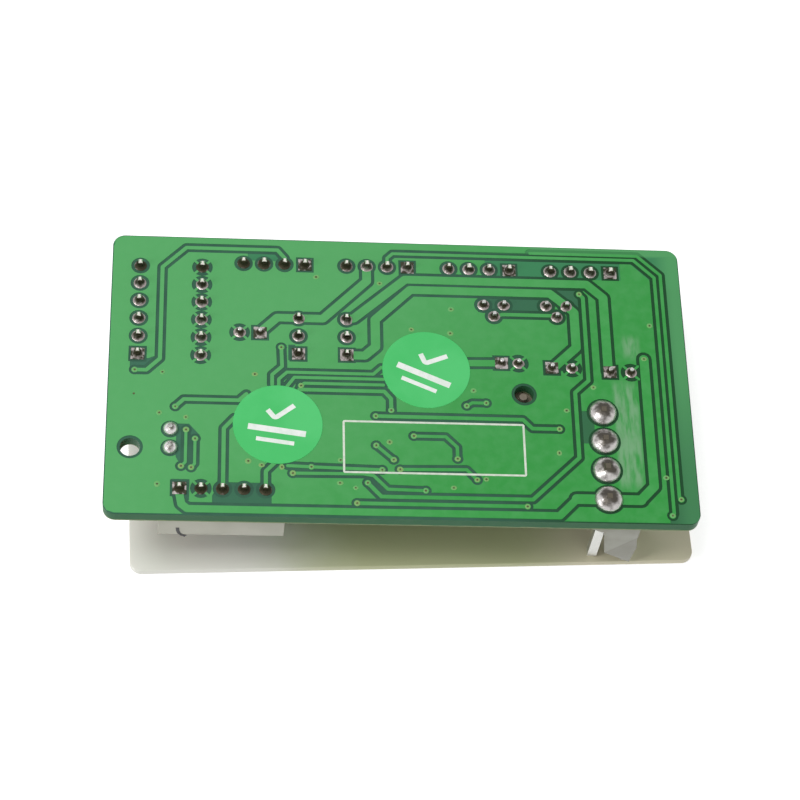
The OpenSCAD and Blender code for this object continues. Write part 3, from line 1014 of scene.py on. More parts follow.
class Repeater:
    """Geometry node trees for what repeats on points or follows a path."""

    def __init__(self) -> None:
        """Builds both trees."""
        self.scatter_tree = self._scatter()
        self.ribbon_tree = self._ribbon()

    def _group(self, name: str, inputs: dict[str, str]) -> tuple[Tree, Callable[[str], Sock]]:
        """Makes an empty tree.

        Args:
            name: the tree's name.
            inputs: socket kinds by name, after the geometry.

        Returns:
            The tree, and a function that gives one of its inputs.
        """
        group = bpy.data.node_groups.new(name, "GeometryNodeTree")
        faces = group.interface
        faces.new_socket("Geometry", in_out="OUTPUT", socket_type="NodeSocketGeometry")
        faces.new_socket("Geometry", in_out="INPUT", socket_type="NodeSocketGeometry")
        for key, kind in inputs.items():
            faces.new_socket(key, in_out="INPUT", socket_type="NodeSocket" + kind)
        tree = Tree(group)
        start = group.nodes.new("NodeGroupInput")
        return tree, lambda key: Sock(tree, start.outputs[key])

    def _close(self, tree: Tree, shape: Sock, finish: Sock) -> bpy.types.NodeTree:
        """Ends a tree in Realize Instances and Set Material.

        Args:
            tree: the node tree to build in.
            shape: the geometry so far.
            finish: the material input.

        Returns:
            Blender's own tree.
        """
        real = tree.node("GeometryNodeRealizeInstances", {}, {"Geometry": shape})
        done = tree.node("GeometryNodeSetMaterial", {}, {"Geometry": real, "Material": finish})
        tree.node("NodeGroupOutput", {}, {0: done})
        return tree.tree

    def _scatter(self) -> bpy.types.NodeTree:
        """Builds the tree that puts one shape on every point.

        Returns:
            Blender's own tree.
        """
        kinds = {
            "Shape": "Object", "Smallest": "Vector", "Turn": "Vector", "Seed": "Int",
            "Finish": "Material",
        }
        tree, given = self._group("shape_on_points", kinds)
        shape = tree.node("GeometryNodeObjectInfo", {}, {"Object": given("Shape")}, "Geometry")
        back = {"operation": "SCALE"}
        behind = tree.node("ShaderNodeVectorMath", back, {0: given("Turn"), "Scale": -1.0})
        vectors = {"data_type": "FLOAT_VECTOR"}
        turn = tree.node(
            "FunctionNodeRandomValue", vectors, {0: behind, 1: given("Turn"), "Seed": given("Seed")}
        )
        scale = tree.node(
            "FunctionNodeRandomValue", vectors,
            {0: given("Smallest"), 1: (1.0, 1.0, 1.0), "Seed": given("Seed")},
        )
        turned = tree.node("FunctionNodeEulerToRotation", {}, {0: turn})
        spread = tree.node(
            "GeometryNodeInstanceOnPoints", {},
            {"Points": given("Geometry"), "Instance": shape, "Rotation": turned, "Scale": scale},
        )
        return self._close(tree, spread, given("Finish"))

    def _ribbon(self) -> bpy.types.NodeTree:
        """Builds the tree that sweeps a flat bar along a path.

        Returns:
            Blender's own tree.
        """
        kinds = {"Width": "Float", "Height": "Float", "Corner": "Float", "Finish": "Material"}
        tree, given = self._group("bar_on_path", kinds)
        path = tree.node("GeometryNodeMeshToCurve", {}, {"Mesh": given("Geometry")})
        soft = tree.node(
            "GeometryNodeFilletCurve", {"mode": "POLY"},
            {"Curve": path, "Radius": given("Corner"), "Limit Radius": True, "Count": 4},
        )
        flat = tree.node("GeometryNodeSetCurveNormal", {"mode": "Z_UP"}, {"Curve": soft})
        bar = tree.node(
            "GeometryNodeCurvePrimitiveQuadrilateral", {},
            {"Width": given("Width"), "Height": given("Height")},
        )
        swept = tree.node(
            "GeometryNodeCurveToMesh", {}, {"Curve": flat, "Profile Curve": bar, "Fill Caps": True}
        )
        flat_faces = {"Geometry": swept, "Shade Smooth": False}
        faceted = tree.node("GeometryNodeSetShadeSmooth", {}, flat_faces)
        return self._close(tree, faceted, given("Finish"))

    def run(self, name: str, source: Obj, group: bpy.types.NodeTree, values: dict[str, Any]) -> Obj:
        """Runs a tree on an object and keeps the result as a plain mesh.

        Args:
            name: the new piece's name.
            source: the object that carries points or a path; it is removed.
            group: the tree.
            values: the tree's inputs by name.

        Returns:
            The new object.
        """
        modifier = source.modifiers.new("tree", "NODES")
        modifier.node_group = group
        for item in group.interface.items_tree:
            if item.in_out == "INPUT" and item.name in values:
                modifier[item.identifier] = values[item.name]
        depsgraph = bpy.context.evaluated_depsgraph_get()
        mesh = bpy.data.meshes.new_from_object(source.evaluated_get(depsgraph))
        source.modifiers.remove(modifier)
        bpy.data.objects.remove(source)
        mesh.name = name
        return placed(name, mesh)

    def scatter(
        self, name: str, shape: BMesh, points: Iterable[Vector], finish: Finish,
        smallest: Sequence[float] = (1.0, 1.0, 1.0), turn: Sequence[float] = (0.0, 0.0, 0.0),
        seed: int = 1,
    ) -> Obj:
        """Puts a shape on every point.

        Args:
            name: the new piece's name.
            shape: the shape, round its own origin, which is freed.
            points: places in metres.
            finish: what the piece is made of.
            smallest: least scale on each axis.
            turn: largest turn about each axis in degrees.
            seed: the seed of both.

        Returns:
            The new piece.
        """
        pattern = piece(name + "_pattern", shape, finish)
        cloud = bpy.data.meshes.new(name + "_points")
        cloud.from_pydata([tuple(p) for p in points], [], [])
        carrier = placed(name + "_carrier", cloud)
        values = {
            "Shape": pattern, "Smallest": list(smallest), "Turn": [math.radians(t) for t in turn],
            "Seed": seed, "Finish": finish.material(),
        }
        made = self.run(name, carrier, self.scatter_tree, values)
        bpy.data.objects.remove(pattern)
        return made

    def ribbon(
        self, name: str, path: Sequence[Vector], width: float, height: float, finish: Finish,
        closed: bool = False, corner: float = 0.0,
    ) -> Obj:
        """Sweeps a flat bar along a path.

        Args:
            name: the new piece's name.
            path: its points in metres.
            width: the bar's width in millimetres.
            height: the bar's height in millimetres.
            finish: what the piece is made of.
            closed: whether the path returns to its start.
            corner: rounding of the path's corners in millimetres.

        Returns:
            The new piece.
        """
        links = [(i, i + 1) for i in range(len(path) - 1)]
        if closed:
            links.append((len(path) - 1, 0))
        lines = bpy.data.meshes.new(name + "_path")
        lines.from_pydata([tuple(p) for p in path], links, [])
        carrier = placed(name + "_carrier", lines)
        values = {
            "Width": width * MM, "Height": height * MM, "Corner": corner * MM,
            "Finish": finish.material(),
        }
        return self.run(name, carrier, self.ribbon_tree, values)


REPEATER = Repeater()


# --- the circuit board --------------------------------------------------------------


class Area(Enum):
    """What a flat outline on the board stands for."""

    BOARD = "board"
    POUR = "pour"
    OPEN = "open"
    GAP = "gap"
    COPPER = "copper"
    HOLE = "hole"


class Pad(Enum):
    """How a pad meets the copper round it."""

    ROUND = "round"
    SQUARE = "square"
    CROSS = "cross"


@dataclass(frozen=True)
class Track:
    """A copper track with a gap on both sides, in millimetres on the board's drawing."""

    width: float
    path: tuple[Point, ...]
    gap: float = 0.41


def at_board(x: float, y: float, z: float) -> Vector:
    """Returns a place on the board's drawing as metres in the shared frame."""
    return Vector(((x + DRAWING_ZERO[0]) * MM, (y + DRAWING_ZERO[1]) * MM, z * MM))


def on_drawing(box: Box) -> Point:
    """Returns a box's centre on the board's drawing."""
    centre = middle(box)
    return (centre.x / MM - DRAWING_ZERO[0], centre.y / MM - DRAWING_ZERO[1])


def disc(centre: Point, radius: float, steps: int = 20) -> list[Point]:
    """Returns a round outline."""
    turns = [2 * math.pi * i / steps for i in range(steps)]
    return [(centre[0] + radius * math.cos(a), centre[1] + radius * math.sin(a)) for a in turns]


def square(centre: Point, half: float) -> list[Point]:
    """Returns a square outline."""
    x, y = centre
    return [(x - half, y - half), (x + half, y - half), (x + half, y + half), (x - half, y + half)]


def turning(outline: Sequence[Point]) -> float:
    """Returns twice an outline's area, below zero where it runs clockwise."""
    pairs = zip(outline, list(outline[1:]) + [outline[0]])
    return sum(a[0] * b[1] - b[0] * a[1] for a, b in pairs)


def capsule(start: Point, end: Point, radius: float, steps: int = 7) -> list[Point]:
    """Draws a straight stroke with round ends.

    Args:
        start: its first end.
        end: its other end.
        radius: half its width.
        steps: how many steps round each end.

    Returns:
        The outline.
    """
    along = math.atan2(end[1] - start[1], end[0] - start[0])
    outline = []
    for centre, first in ((end, along - math.pi / 2), (start, along + math.pi / 2)):
        for i in range(steps + 1):
            a = first + math.pi * i / steps
            outline.append((centre[0] + radius * math.cos(a), centre[1] + radius * math.sin(a)))
    return outline


def rounded(left: float, front: float, right: float, rear: float, radius: float) -> list[Point]:
    """Draws a rectangle with round corners.

    Args:
        left: its least x.
        front: its least y.
        right: its largest x.
        rear: its largest y.
        radius: the corners' radius.

    Returns:
        The outline.
    """
    outline = []
    corners = ((right, rear, 0), (left, rear, 1), (left, front, 2), (right, front, 3))
    for x, y, quarter in corners:
        cx = x - radius if x == right else x + radius
        cy = y - radius if y == rear else y + radius
        for i in range(6):
            a = math.pi / 2 * (quarter + i / 5)
            outline.append((cx + radius * math.cos(a), cy + radius * math.sin(a)))
    return outline


@dataclass
class CircuitBoard:
    """The board: its slab, the copper under green mask, vias and the printed frame."""

    copper_t: float = 0.05
    mask_t: float = 0.012
    signal: float = 0.5
    pad_gap: float = 1.16
    square_less: float = 0.06
    cross_more: float = 0.12
    spoke: float = 0.16
    same_pad: float = 0.9
    dome_gap: float = 1.98
    via_r: float = 0.4
    via_gap: float = 0.3
    pinhole: Point = (-32.5, -2.1)
    fixing_ring: float = 1.56
    fixing_holes: tuple[Point, Point] = ((-32.75, -9.4), (14.8, -0.95))

    def tracks(self) -> list[Track]:
        """Lists the tracks on the solder side.

        Returns:
            Every track.
        """
        thin, wide = self.signal, 1.15
        rows = [
            (thin, (
                (-32.5, 1.25), (-31.1, 1.25), (-29.5, 2.9), (-29.5, 16.1), (-26.6, 19.05),
                (-15.3, 19.05), (-14.4, 17.9),
            )),
            (thin, ((-27.5, -3.75), (-26.5, -2.7), (-19.9, -2.7), (-19.0, -1.8))),
            (thin, ((-21.65, -14.8), (-21.65, -6.6), (-20.4, -5.1))),
            (0.36, ((-26.15, -6.9), (-26.15, -11.3), (-26.65, -11.85))),
            (0.36, ((-25.05, -8.1), (-25.05, -11.5), (-25.45, -12.0))),
            (1.1, ((-4.2, 16.9), (-4.2, 14.8), (-9.7, 9.15), (-15.3, 9.15), (-17.2, 7.2))),
            (wide, (
                (-6.8, 9.2), (-5.9, 9.3), (0.6, 15.2), (23.4, 15.2), (25.4, 13.3), (25.4, 2.5),
            )),
            (wide, (
                (-6.8, 4.0), (-4.6, 4.0), (-3.25, 5.3), (-3.25, 9.2), (1.2, 13.7), (18.7, 13.7),
                (20.7, 11.9), (21.6, 11.0), (21.6, 5.9), (18.6, 2.9),
            )),
            (0.42, (
                (-1.6, 17.0), (-1.6, 18.3), (-0.9, 19.0), (29.6, 19.0), (32.1, 16.5),
                (32.1, -16.9), (31.9, -17.2),
            )),
            (0.42, ((16.5, 19.65), (30.1, 19.65), (32.9, 16.9), (32.9, -14.8), (33.1, -15.0))),
            (thin, (
                (22.4, 13.7), (22.85, 13.2), (22.85, 1.2), (21.1, -0.5), (21.1, -9.6),
                (15.2, -15.4), (-2.9, -15.4), (-4.5, -13.6),
            )),
            (0.95, ((-26.77, -15.5), (-26.5, -16.9), (-25.8, -17.5), (18.3, -17.5), (20.5, -15.2))),
            (1.3, ((20.5, -15.2), (28.2, -15.2))),
            (wide, ((28.2, -15.2), (29.95, -13.3), (29.95, 4.5))),
            (thin, ((-5.8, -16.35), (14.5, -16.35))),
            (0.42, ((-13.4, -12.5), (-5.0, -12.4), (-3.8, -12.6), (-2.1, -14.4), (2.4, -14.5))),
            (0.42, ((-14.0, -11.5), (-11.2, -11.6), (-2.75, -11.8))),
            (0.42, ((-0.6, -11.7), (7.4, -11.55), (8.6, -12.9))),
            (0.42, ((-3.4, -8.5), (-1.35, -10.4))),
            (0.42, ((1.15, -7.1), (5.0, -7.1), (6.35, -8.5), (6.35, -10.1))),
            (thin, ((-3.4, -4.45), (14.5, -4.5), (15.6, -5.7), (18.9, -5.7))),
            (0.42, ((7.7, -2.75), (8.4, -2.3), (10.1, -2.3))),
            (0.9, ((8.1, 3.3), (12.2, 3.4))),
            (0.46, ((-14.8, 4.9), (-14.7, 2.2), (-15.9, 1.0), (-15.9, -0.4))),
            (0.42, ((-15.1, -0.6), (-15.1, 0.4), (-14.1, 1.4), (-3.6, 1.4), (-2.6, 2.4))),
            (0.42, ((-14.1, -0.6), (-13.2, 0.7), (-2.4, 0.7))),
            (0.42, ((-12.4, -0.45), (-12.0, -0.1), (-2.4, -0.1))),
            (0.5, ((-12.6, -1.0), (-2.3, -1.0), (-1.5, -2.0), (-1.5, -3.6))),
            (thin, ((11.6, 10.1), (12.6, 10.45), (19.2, 10.45))),
            (thin, ((-16.6, -14.4), (-16.6, -12.3), (-15.6, -11.2))),
        ]
        return [Track(width, path) for width, path in rows]

    def bare(self) -> list[list[Point]]:
        """Lists the fields without copper, beside the tracks' own gaps.

        Returns:
            Their outlines.
        """
        return [
            [(10.7, 15.9), (27.8, 15.9), (27.8, 18.8), (10.7, 18.8)],
            [(-19.0, 17.4), (-14.5, 17.4), (-14.5, 18.8), (-19.0, 18.8)],
            [(9.6, 10.7), (18.0, 10.7), (18.0, 12.95), (9.6, 12.95)],
            [(19.6, 11.7), (22.6, 11.7), (22.6, 13.4), (21.6, 14.5), (19.6, 14.5)],
            [(-22.9, -15.7), (-22.0, -13.9), (-15.9, -13.9), (-15.9, -16.9), (-22.9, -16.9)],
            [
                (-27.3, -6.1), (-25.8, -6.1), (-24.5, -7.6), (-24.5, -11.6), (-27.0, -11.2),
                (-27.3, -10.6),
            ],
            [(-27.8, -13.6), (-25.6, -13.6), (-25.6, -16.4), (-26.3, -16.4), (-27.8, -15.9)],
            [(-13.95, 3.1), (-13.1, 3.1), (-13.1, 5.3), (-13.95, 5.3)],
            [(-33.1, 1.5), (-31.2, 1.5), (-30.2, 2.5), (-30.2, 3.2), (-30.9, 2.9), (-33.1, 2.9)],
            [(21.4, -3.1), (23.2, -3.1), (23.2, -7.6), (21.4, -7.6)],
        ]

    def pour(self) -> list[Point]:
        """Draws the edge of the ground copper.

        Returns:
            The outline.
        """
        rear_left = [(-34.2, 20.54), (-35.2, 20.0), (-35.58, 19.0)]
        front_left = [(-35.58, -17.2), (-35.2, -17.9), (-34.3, -18.2)]
        right = [(31.55, -18.2), (31.55, 16.0), (29.0, 18.6), (16.5, 18.6), (16.5, 20.54)]
        return right + rear_left + front_left

    def edge(self, inset: float = 0.1) -> list[Point]:
        """Returns the board's own outline, drawn in a little."""
        return rounded(-35.7 + inset, -18.35 + inset, 35.3 - inset, 20.65 - inset, 1.2)

    def track_vias(self) -> list[Point]:
        """Lists the plated holes at the tracks' ends.

        Returns:
            Their places.
        """
        return [
            (-32.5, 1.25), (-27.5, -3.75), (-26.15, -6.9), (-26.65, -11.85), (-25.05, -8.1),
            (-25.45, -12.0),
            (31.9, -17.2), (33.1, -15.0), (22.4, 13.7), (-4.5, -13.6), (29.95, 4.5), (-5.8, -16.35),
            (14.5, -16.35),
            (-13.4, -12.5), (2.4, -14.5), (-11.2, -11.6), (-2.75, -11.8), (-0.6, -11.7),
            (8.6, -12.9), (-3.4, -8.5),
            (-1.35, -10.4), (1.15, -7.1), (6.35, -10.1), (-3.4, -4.45), (18.9, -5.7), (7.7, -2.75),
            (10.1, -2.3),
            (-14.8, 4.9), (-12.4, -0.45), (-1.5, -3.6),
        ]

    def lone_vias(self) -> list[Point]:
        """Lists the plated holes in the ground copper.

        Returns:
            Their places.
        """
        return [
            (-29.15, 1.0), (-29.4, -4.65), (-26.2, -5.2), (-18.0, 1.0), (-29.4, -14.3),
            (-18.7, -11.0),
            (-7.8, -13.7), (-5.95, -14.3), (-7.7, -10.6), (-10.5, 15.2), (-2.6, 14.5), (6.2, 11.0),
            (6.0, 7.5),
            (1.2, 7.9), (8.6, -0.6), (19.9, -3.1), (18.7, -9.0), (-1.8, -8.0), (5.75, -14.05),
            (31.0, 9.35),
            (23.4, 0.25), (31.5, -12.1), (-17.1, -11.5), (-14.7, -11.7), (9.7, -12.8),
        ]

    def pads(self) -> list[tuple[Point, Pad]]:
        """Reads the signal pads from the frame's solder joints.

        Returns:
            Each pad's place and kind.
        """
        squares = [
            (-32.1, 3.5), (-11.9, 16.97), (0.93, 16.97), (13.75, 16.97), (26.6, 16.97),
            (-17.4, 6.9),
            (-12.6, 3.9), (-6.8, 3.9), (12.2, 3.4), (18.4, 2.9), (25.6, 2.5), (-26.77, -14.8),
        ]
        crosses = [(-24.75, y) for y in (3.5, 6.05, 8.6, 11.1, 13.65, 16.2)]
        crosses += [(-24.23, -14.8), (-19.9, 6.9), (20.9, 2.8), (28.2, 2.4), (14.2, 3.5)]

        def near(place: Point, spots: list[Point]) -> bool:
            """Tells whether a place is one of the spots."""
            return any(math.dist(place, spot) < self.same_pad for spot in spots)

        found = []
        for box in islands("signal_solder"):
            place = on_drawing(box)
            kind = Pad.SQUARE if near(place, squares) else Pad.ROUND
            found.append((place, Pad.CROSS if near(place, crosses) else kind))
        return found

    def outlines(self) -> list[tuple[Area, list[Point]]]:
        """Lists every outline that cuts or fills the copper.

        Returns:
            Each outline with what it stands for.
        """
        made = [(Area.BOARD, self.edge()), (Area.POUR, self.pour())]
        made += [(Area.OPEN, outline) for outline in self.bare()]
        for track in self.tracks():
            for a, b in zip(track.path, track.path[1:]):
                made.append((Area.GAP, capsule(a, b, track.width / 2 + track.gap)))
                made.append((Area.COPPER, capsule(a, b, track.width / 2)))
        for place, kind in self.pads():
            x, y = place
            if kind is Pad.SQUARE:
                made.append((Area.GAP, square(place, self.pad_gap - self.square_less)))
            elif kind is Pad.ROUND:
                made.append((Area.GAP, disc(place, self.pad_gap)))
            else:
                made.append((Area.GAP, disc(place, self.pad_gap + self.cross_more)))
                reach = self.pad_gap * 0.8
                for side in (-1, 1):
                    ends = (x - reach, y - side * reach), (x + reach, y + side * reach)
                    made.append((Area.COPPER, capsule(*ends, self.spoke, 3)))
        for box in islands("power_solder"):
            made.append((Area.GAP, disc(on_drawing(box), self.dome_gap, 28)))
        for place in self.fixing_holes:
            made.append((Area.HOLE, disc(place, self.fixing_ring, 28)))
        for place in self.track_vias():
            made.append((Area.GAP, disc(place, self.via_r + self.via_gap, 14)))
            made.append((Area.COPPER, disc(place, self.via_r, 14)))
        return made

    def copper(self) -> list[BMesh]:
        """Cuts the outlines into one another and gives each kind of area its thickness.

        Returns:
            The ground copper, the tracks and the open fields, each a closed layer.
        """
        outlines = self.outlines()
        for _, outline in outlines:
            if turning(outline) < 0:
                outline.reverse()
        points: list[Vector] = []
        rings: list[list[int]] = []
        for _, outline in outlines:
            start = len(points)
            points += [Vector(p) for p in outline]
            rings.append(list(range(start, len(points))))
        flat, _, faces, _, _, sources = delaunay_2d_cdt(points, [], rings, 1, 1e-5)
        ground, tracks, fields = [], [], []
        for face, source in zip(faces, sources):
            areas = {outlines[i][0] for i in source}
            if Area.HOLE in areas:
                continue
            if Area.GAP in areas:
                if Area.COPPER in areas:
                    tracks.append(face)
            elif Area.POUR in areas and Area.OPEN not in areas:
                ground.append(face)
            elif Area.BOARD in areas:
                fields.append(face)
        kinds = ((ground, self.copper_t), (tracks, self.copper_t), (fields, self.mask_t))
        return [self.layer(flat, kept, thick) for kept, thick in kinds]

    def layer(self, flat: list[Vector], kept: list[list[int]], thick: float) -> BMesh:
        """Gives flat faces a thickness.

        Args:
            flat: the points on the board's drawing.
            kept: the faces, by point.
            thick: the thickness in millimetres.

        Returns:
            A closed mesh.
        """
        mesh = bmesh.new()
        levels = {}
        for level, z in ((0, BOARD_TOP), (1, BOARD_TOP + thick)):
            for i in {i for face in kept for i in face}:
                levels[i, level] = mesh.verts.new(at_board(flat[i].x, flat[i].y, z))
        edges = set()
        for face in kept:
            mesh.faces.new([levels[i, 1] for i in face])
            mesh.faces.new([levels[i, 0] for i in reversed(face)])
            edges |= {(a, b) for a, b in zip(face, face[1:] + face[:1])}
        for a, b in edges:
            if (b, a) not in edges:
                mesh.faces.new((levels[a, 0], levels[b, 0], levels[b, 1], levels[a, 1]))
        return mesh

    def build(self) -> None:
        """Builds the board's surface pieces and dresses its slab."""
        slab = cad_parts["board"]
        slab.data.materials.clear()
        slab.data.materials.append(Palette.BARE.material())
        names = ("ground_copper", "track_copper", "open_fields")
        finishes = (Palette.MASK, Palette.TRACK, Palette.OPEN)
        for name, mesh, finish in zip(names, self.copper(), finishes):
            seat(piece(name, mesh, finish), "board", "green_laminate")
        over = BOARD_TOP + self.copper_t
        r = self.via_r
        rim = [(0, -0.01), (r, -0.01), (r, 0.01), (0.34, 0.025), (0.2, 0.025), (0, 0.015)]
        ring = lathe(rim, 14)
        dent = lathe([(0, 0.0), (0.15, 0.0), (0.15, 0.032), (0, 0.032)], 10)
        spots = [at_board(x, y, over) for x, y in self.track_vias() + self.lone_vias()]
        bare = at_board(*self.pinhole, over)
        least = (0.75, 0.75, 1.0)
        rings = REPEATER.scatter("via_rings", ring, spots, Palette.VIA_RING, least, seed=3)
        seat(rings, "board", "green_laminate")
        holes = REPEATER.scatter("via_holes", dent, spots + [bare], Palette.VIA_HOLE, least, seed=4)
        seat(holes, "board", "green_laminate")
        corners = ((-7.3, -12.2), (14.5, -12.2), (14.5, -5.25), (-7.3, -5.25))
        path = [at_board(x, y, over + 0.01) for x, y in corners]
        outline = REPEATER.ribbon(
            "printed_frame", path, 0.26, 0.03, Palette.INK, closed=True, corner=0.14
        )
        seat(outline, "board", "green_laminate")


@dataclass
class SolderWork:
    """The joints on the solder side: fillets, square pads and the four power domes."""

    pad_r: float = 0.82
    lead_pad_r: float = 0.78
    lead_pad_w: float = 1.65

    def fillet(self, pad: float, pin: float, height: float) -> BMesh:
        """Makes a hollow-sided solder cone from the pad up to the pin.

        Args:
            pad: its foot's radius in millimetres.
            pin: its top's radius in millimetres.
            height: its height in millimetres.

        Returns:
            The mesh.
        """
        steps = 6
        profile = [(0.0, -0.02), (pad, -0.02), (pad, 0.05)]
        for i in range(1, steps + 1):
            t = i / steps
            radius = pad + (pin - pad) * (1 - (1 - t) ** 1.8)
            profile.append((radius, 0.05 + (height - 0.05) * t**1.5))
        profile.append((0.0, height))
        return lumpy(lathe(profile, 16), 0.018, 5)

    def dome(self) -> BMesh:
        """Makes a full round power joint.

        Returns:
            The mesh.
        """
        profile = [
            (0.0, -0.02), (1.7, -0.02), (1.74, 0.12), (1.67, 0.36), (1.46, 0.62), (1.12, 0.86),
            (0.72, 1.04), (0.34, 1.14), (0.0, 1.17),
        ]
        return lumpy(lathe(profile, 28), 0.03, 8)

    def bead(self) -> BMesh:
        """Makes a full bright joint that covers the cut lead.

        Returns:
            The mesh.
        """
        profile = [
            (0.0, -0.02), (0.9, -0.02), (0.94, 0.12), (0.86, 0.4), (0.64, 0.66), (0.36, 0.84),
            (0.0, 0.92),
        ]
        return lumpy(lathe(profile, 20), 0.015, 9)

    def build(self) -> None:
        """Builds the joints in place of the plain solder cones."""
        boxes = islands("signal_solder")
        low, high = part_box("status_lamp_leads")
        lamp = [b for b in boxes if low.x < middle(b).x < high.x and middle(b).y < high.y]
        rest = [box for box in boxes if box not in lamp]
        small = [box for box in rest if box[1].x - box[0].x <= self.lead_pad_w * MM]
        wide = [box for box in rest if box not in small]

        def feet(group: list[Box]) -> list[Vector]:
            """Returns the foot of each joint."""
            return [Vector((*middle(box).xy, BOARD_TOP * MM)) for box in group]

        turn = (2.0, 2.0, 180.0)
        joints = REPEATER.scatter(
            "pin_joints", self.fillet(self.pad_r, 0.42, 0.85), feet(wide), Palette.SOLDER,
            (0.92, 0.92, 0.75), turn, 11,
        )
        seat(joints, "board", "solder", "signal_solder")
        leads = REPEATER.scatter(
            "lead_joints", self.fillet(self.lead_pad_r, 0.3, 0.72), feet(small), Palette.SOLDER,
            (0.92, 0.92, 0.8), turn, 12,
        )
        seat(leads, "board", "solder")
        beads = REPEATER.scatter(
            "lamp_joints", self.bead(), feet(lamp), Palette.BEAD, (0.97, 0.97, 0.95), turn, 15
        )
        seat(beads, "board", "solder")
        plate = lumpy(block((1.66, 1.66, 0.12), Vector((0, 0, 0.05 * MM)), 0.05), 0.012, 6)
        pads = CircuitBoard().pads()
        spots = [at_board(*place, BOARD_TOP) for place, kind in pads if kind is Pad.SQUARE]
        squares = REPEATER.scatter(
            "square_pads", plate, spots, Palette.PAD, (0.96, 0.96, 1.0), (0, 0, 1.5), 13
        )
        seat(squares, "board", "solder")
        domes = REPEATER.scatter(
            "power_joints", self.dome(), feet(islands("power_solder")), Palette.DOME,
            (0.98, 0.98, 0.92), (1.5, 1.5, 180.0), 14,
        )
        seat(domes, "board", "solder", "power_solder")


@dataclass
class InspectionStickers:
    """Two round stickers with a plain tick over two bars."""

    radius: float = 5.4
    lift: float = 0.03
    print_lift: float = 0.004
    turns: tuple[float, float] = (-8.0, -24.0)

    def mark(self, name: str, centre: Vector, turn: float) -> Obj:
        """Builds the printed tick and bars.

        Args:
            name: the piece's name.
            centre: the sticker's middle on its face.
            turn: how far the print is turned, in degrees.

        Returns:
            The print as one piece.
        """
        spin = Matrix.Rotation(math.radians(turn), 4, "Z")

        def path(points: Sequence[Point]) -> list[Vector]:
            """Returns points of the print in the shared frame."""
            return [centre + spin @ Vector((x * MM, y * MM, 0.0)) for x, y in points]

        strokes = [
            (((-1.5, 1.75), (-0.45, 0.75), (1.6, 2.85)), 0.62),
            (((-3.5, -0.85), (3.5, -0.85)), 0.8),
            (((-2.3, -2.35), (2.3, -2.35)), 0.55),
        ]
        parts = []
        for i, (points, width) in enumerate(strokes):
            part = REPEATER.ribbon(
                f"{name}_{i}", path(points), width, 0.02, Palette.MARK, corner=0.34
            )
            mesh = bmesh.new()
            mesh.from_mesh(part.data)
            bpy.data.objects.remove(part)
            parts.append(mesh)
        return piece(name, joined(parts), Palette.MARK)

    def build(self) -> None:
        """Builds both stickers in place of the plain discs."""
        for node, turn in zip(("sticker_left", "sticker_centre"), self.turns):
            centre, _, low, face = upright(node)
            foot, r = low + self.lift, self.radius
            profile = [
                (0, foot), (r - 0.02, foot), (r, foot + 0.03), (r - 0.05, face), (r * 0.5, face),
                (0, face),
            ]
            body = lathe(profile, 64)
            body.transform(Matrix.Translation(centre))
            seat(piece(node + "_vinyl", body, Palette.STICKER), "board", "green_sticker", node)
            face_at = centre + Vector((0, 0, face * MM + self.print_lift * MM))
            seat(self.mark(node + "_print", face_at, turn), "board", "green_sticker")


# --- connectors, switch and jumpers ---------------------------------------------------


@dataclass
class Pins:
    """Square pins that stand through the board, one set for each CAD node."""

    side: float = 0.64
    taper: float = 0.19

    def build(self, node: str, finish: Finish, slot: str, body: str = "board") -> None:
        """Builds a node's pins.

        Args:
            node: the CAD node of separate pins.
            finish: what they are made of.
            slot: the record's slot.
            body: the body that they ride on.
        """
        boxes = islands(node)
        length = (boxes[0][1].z - boxes[0][0].z) / MM
        feet = [Vector((*middle(box).xy, box[0].z)) for box in boxes]
        bar = tapered_bar(self.side, length, self.taper)
        least, turn = (1.0, 1.0, 0.985), (0, 0, 3.0)
        made = REPEATER.scatter(node + "_row", bar, feet, finish, least, turn, 21)
        seat(made, body, slot, node)


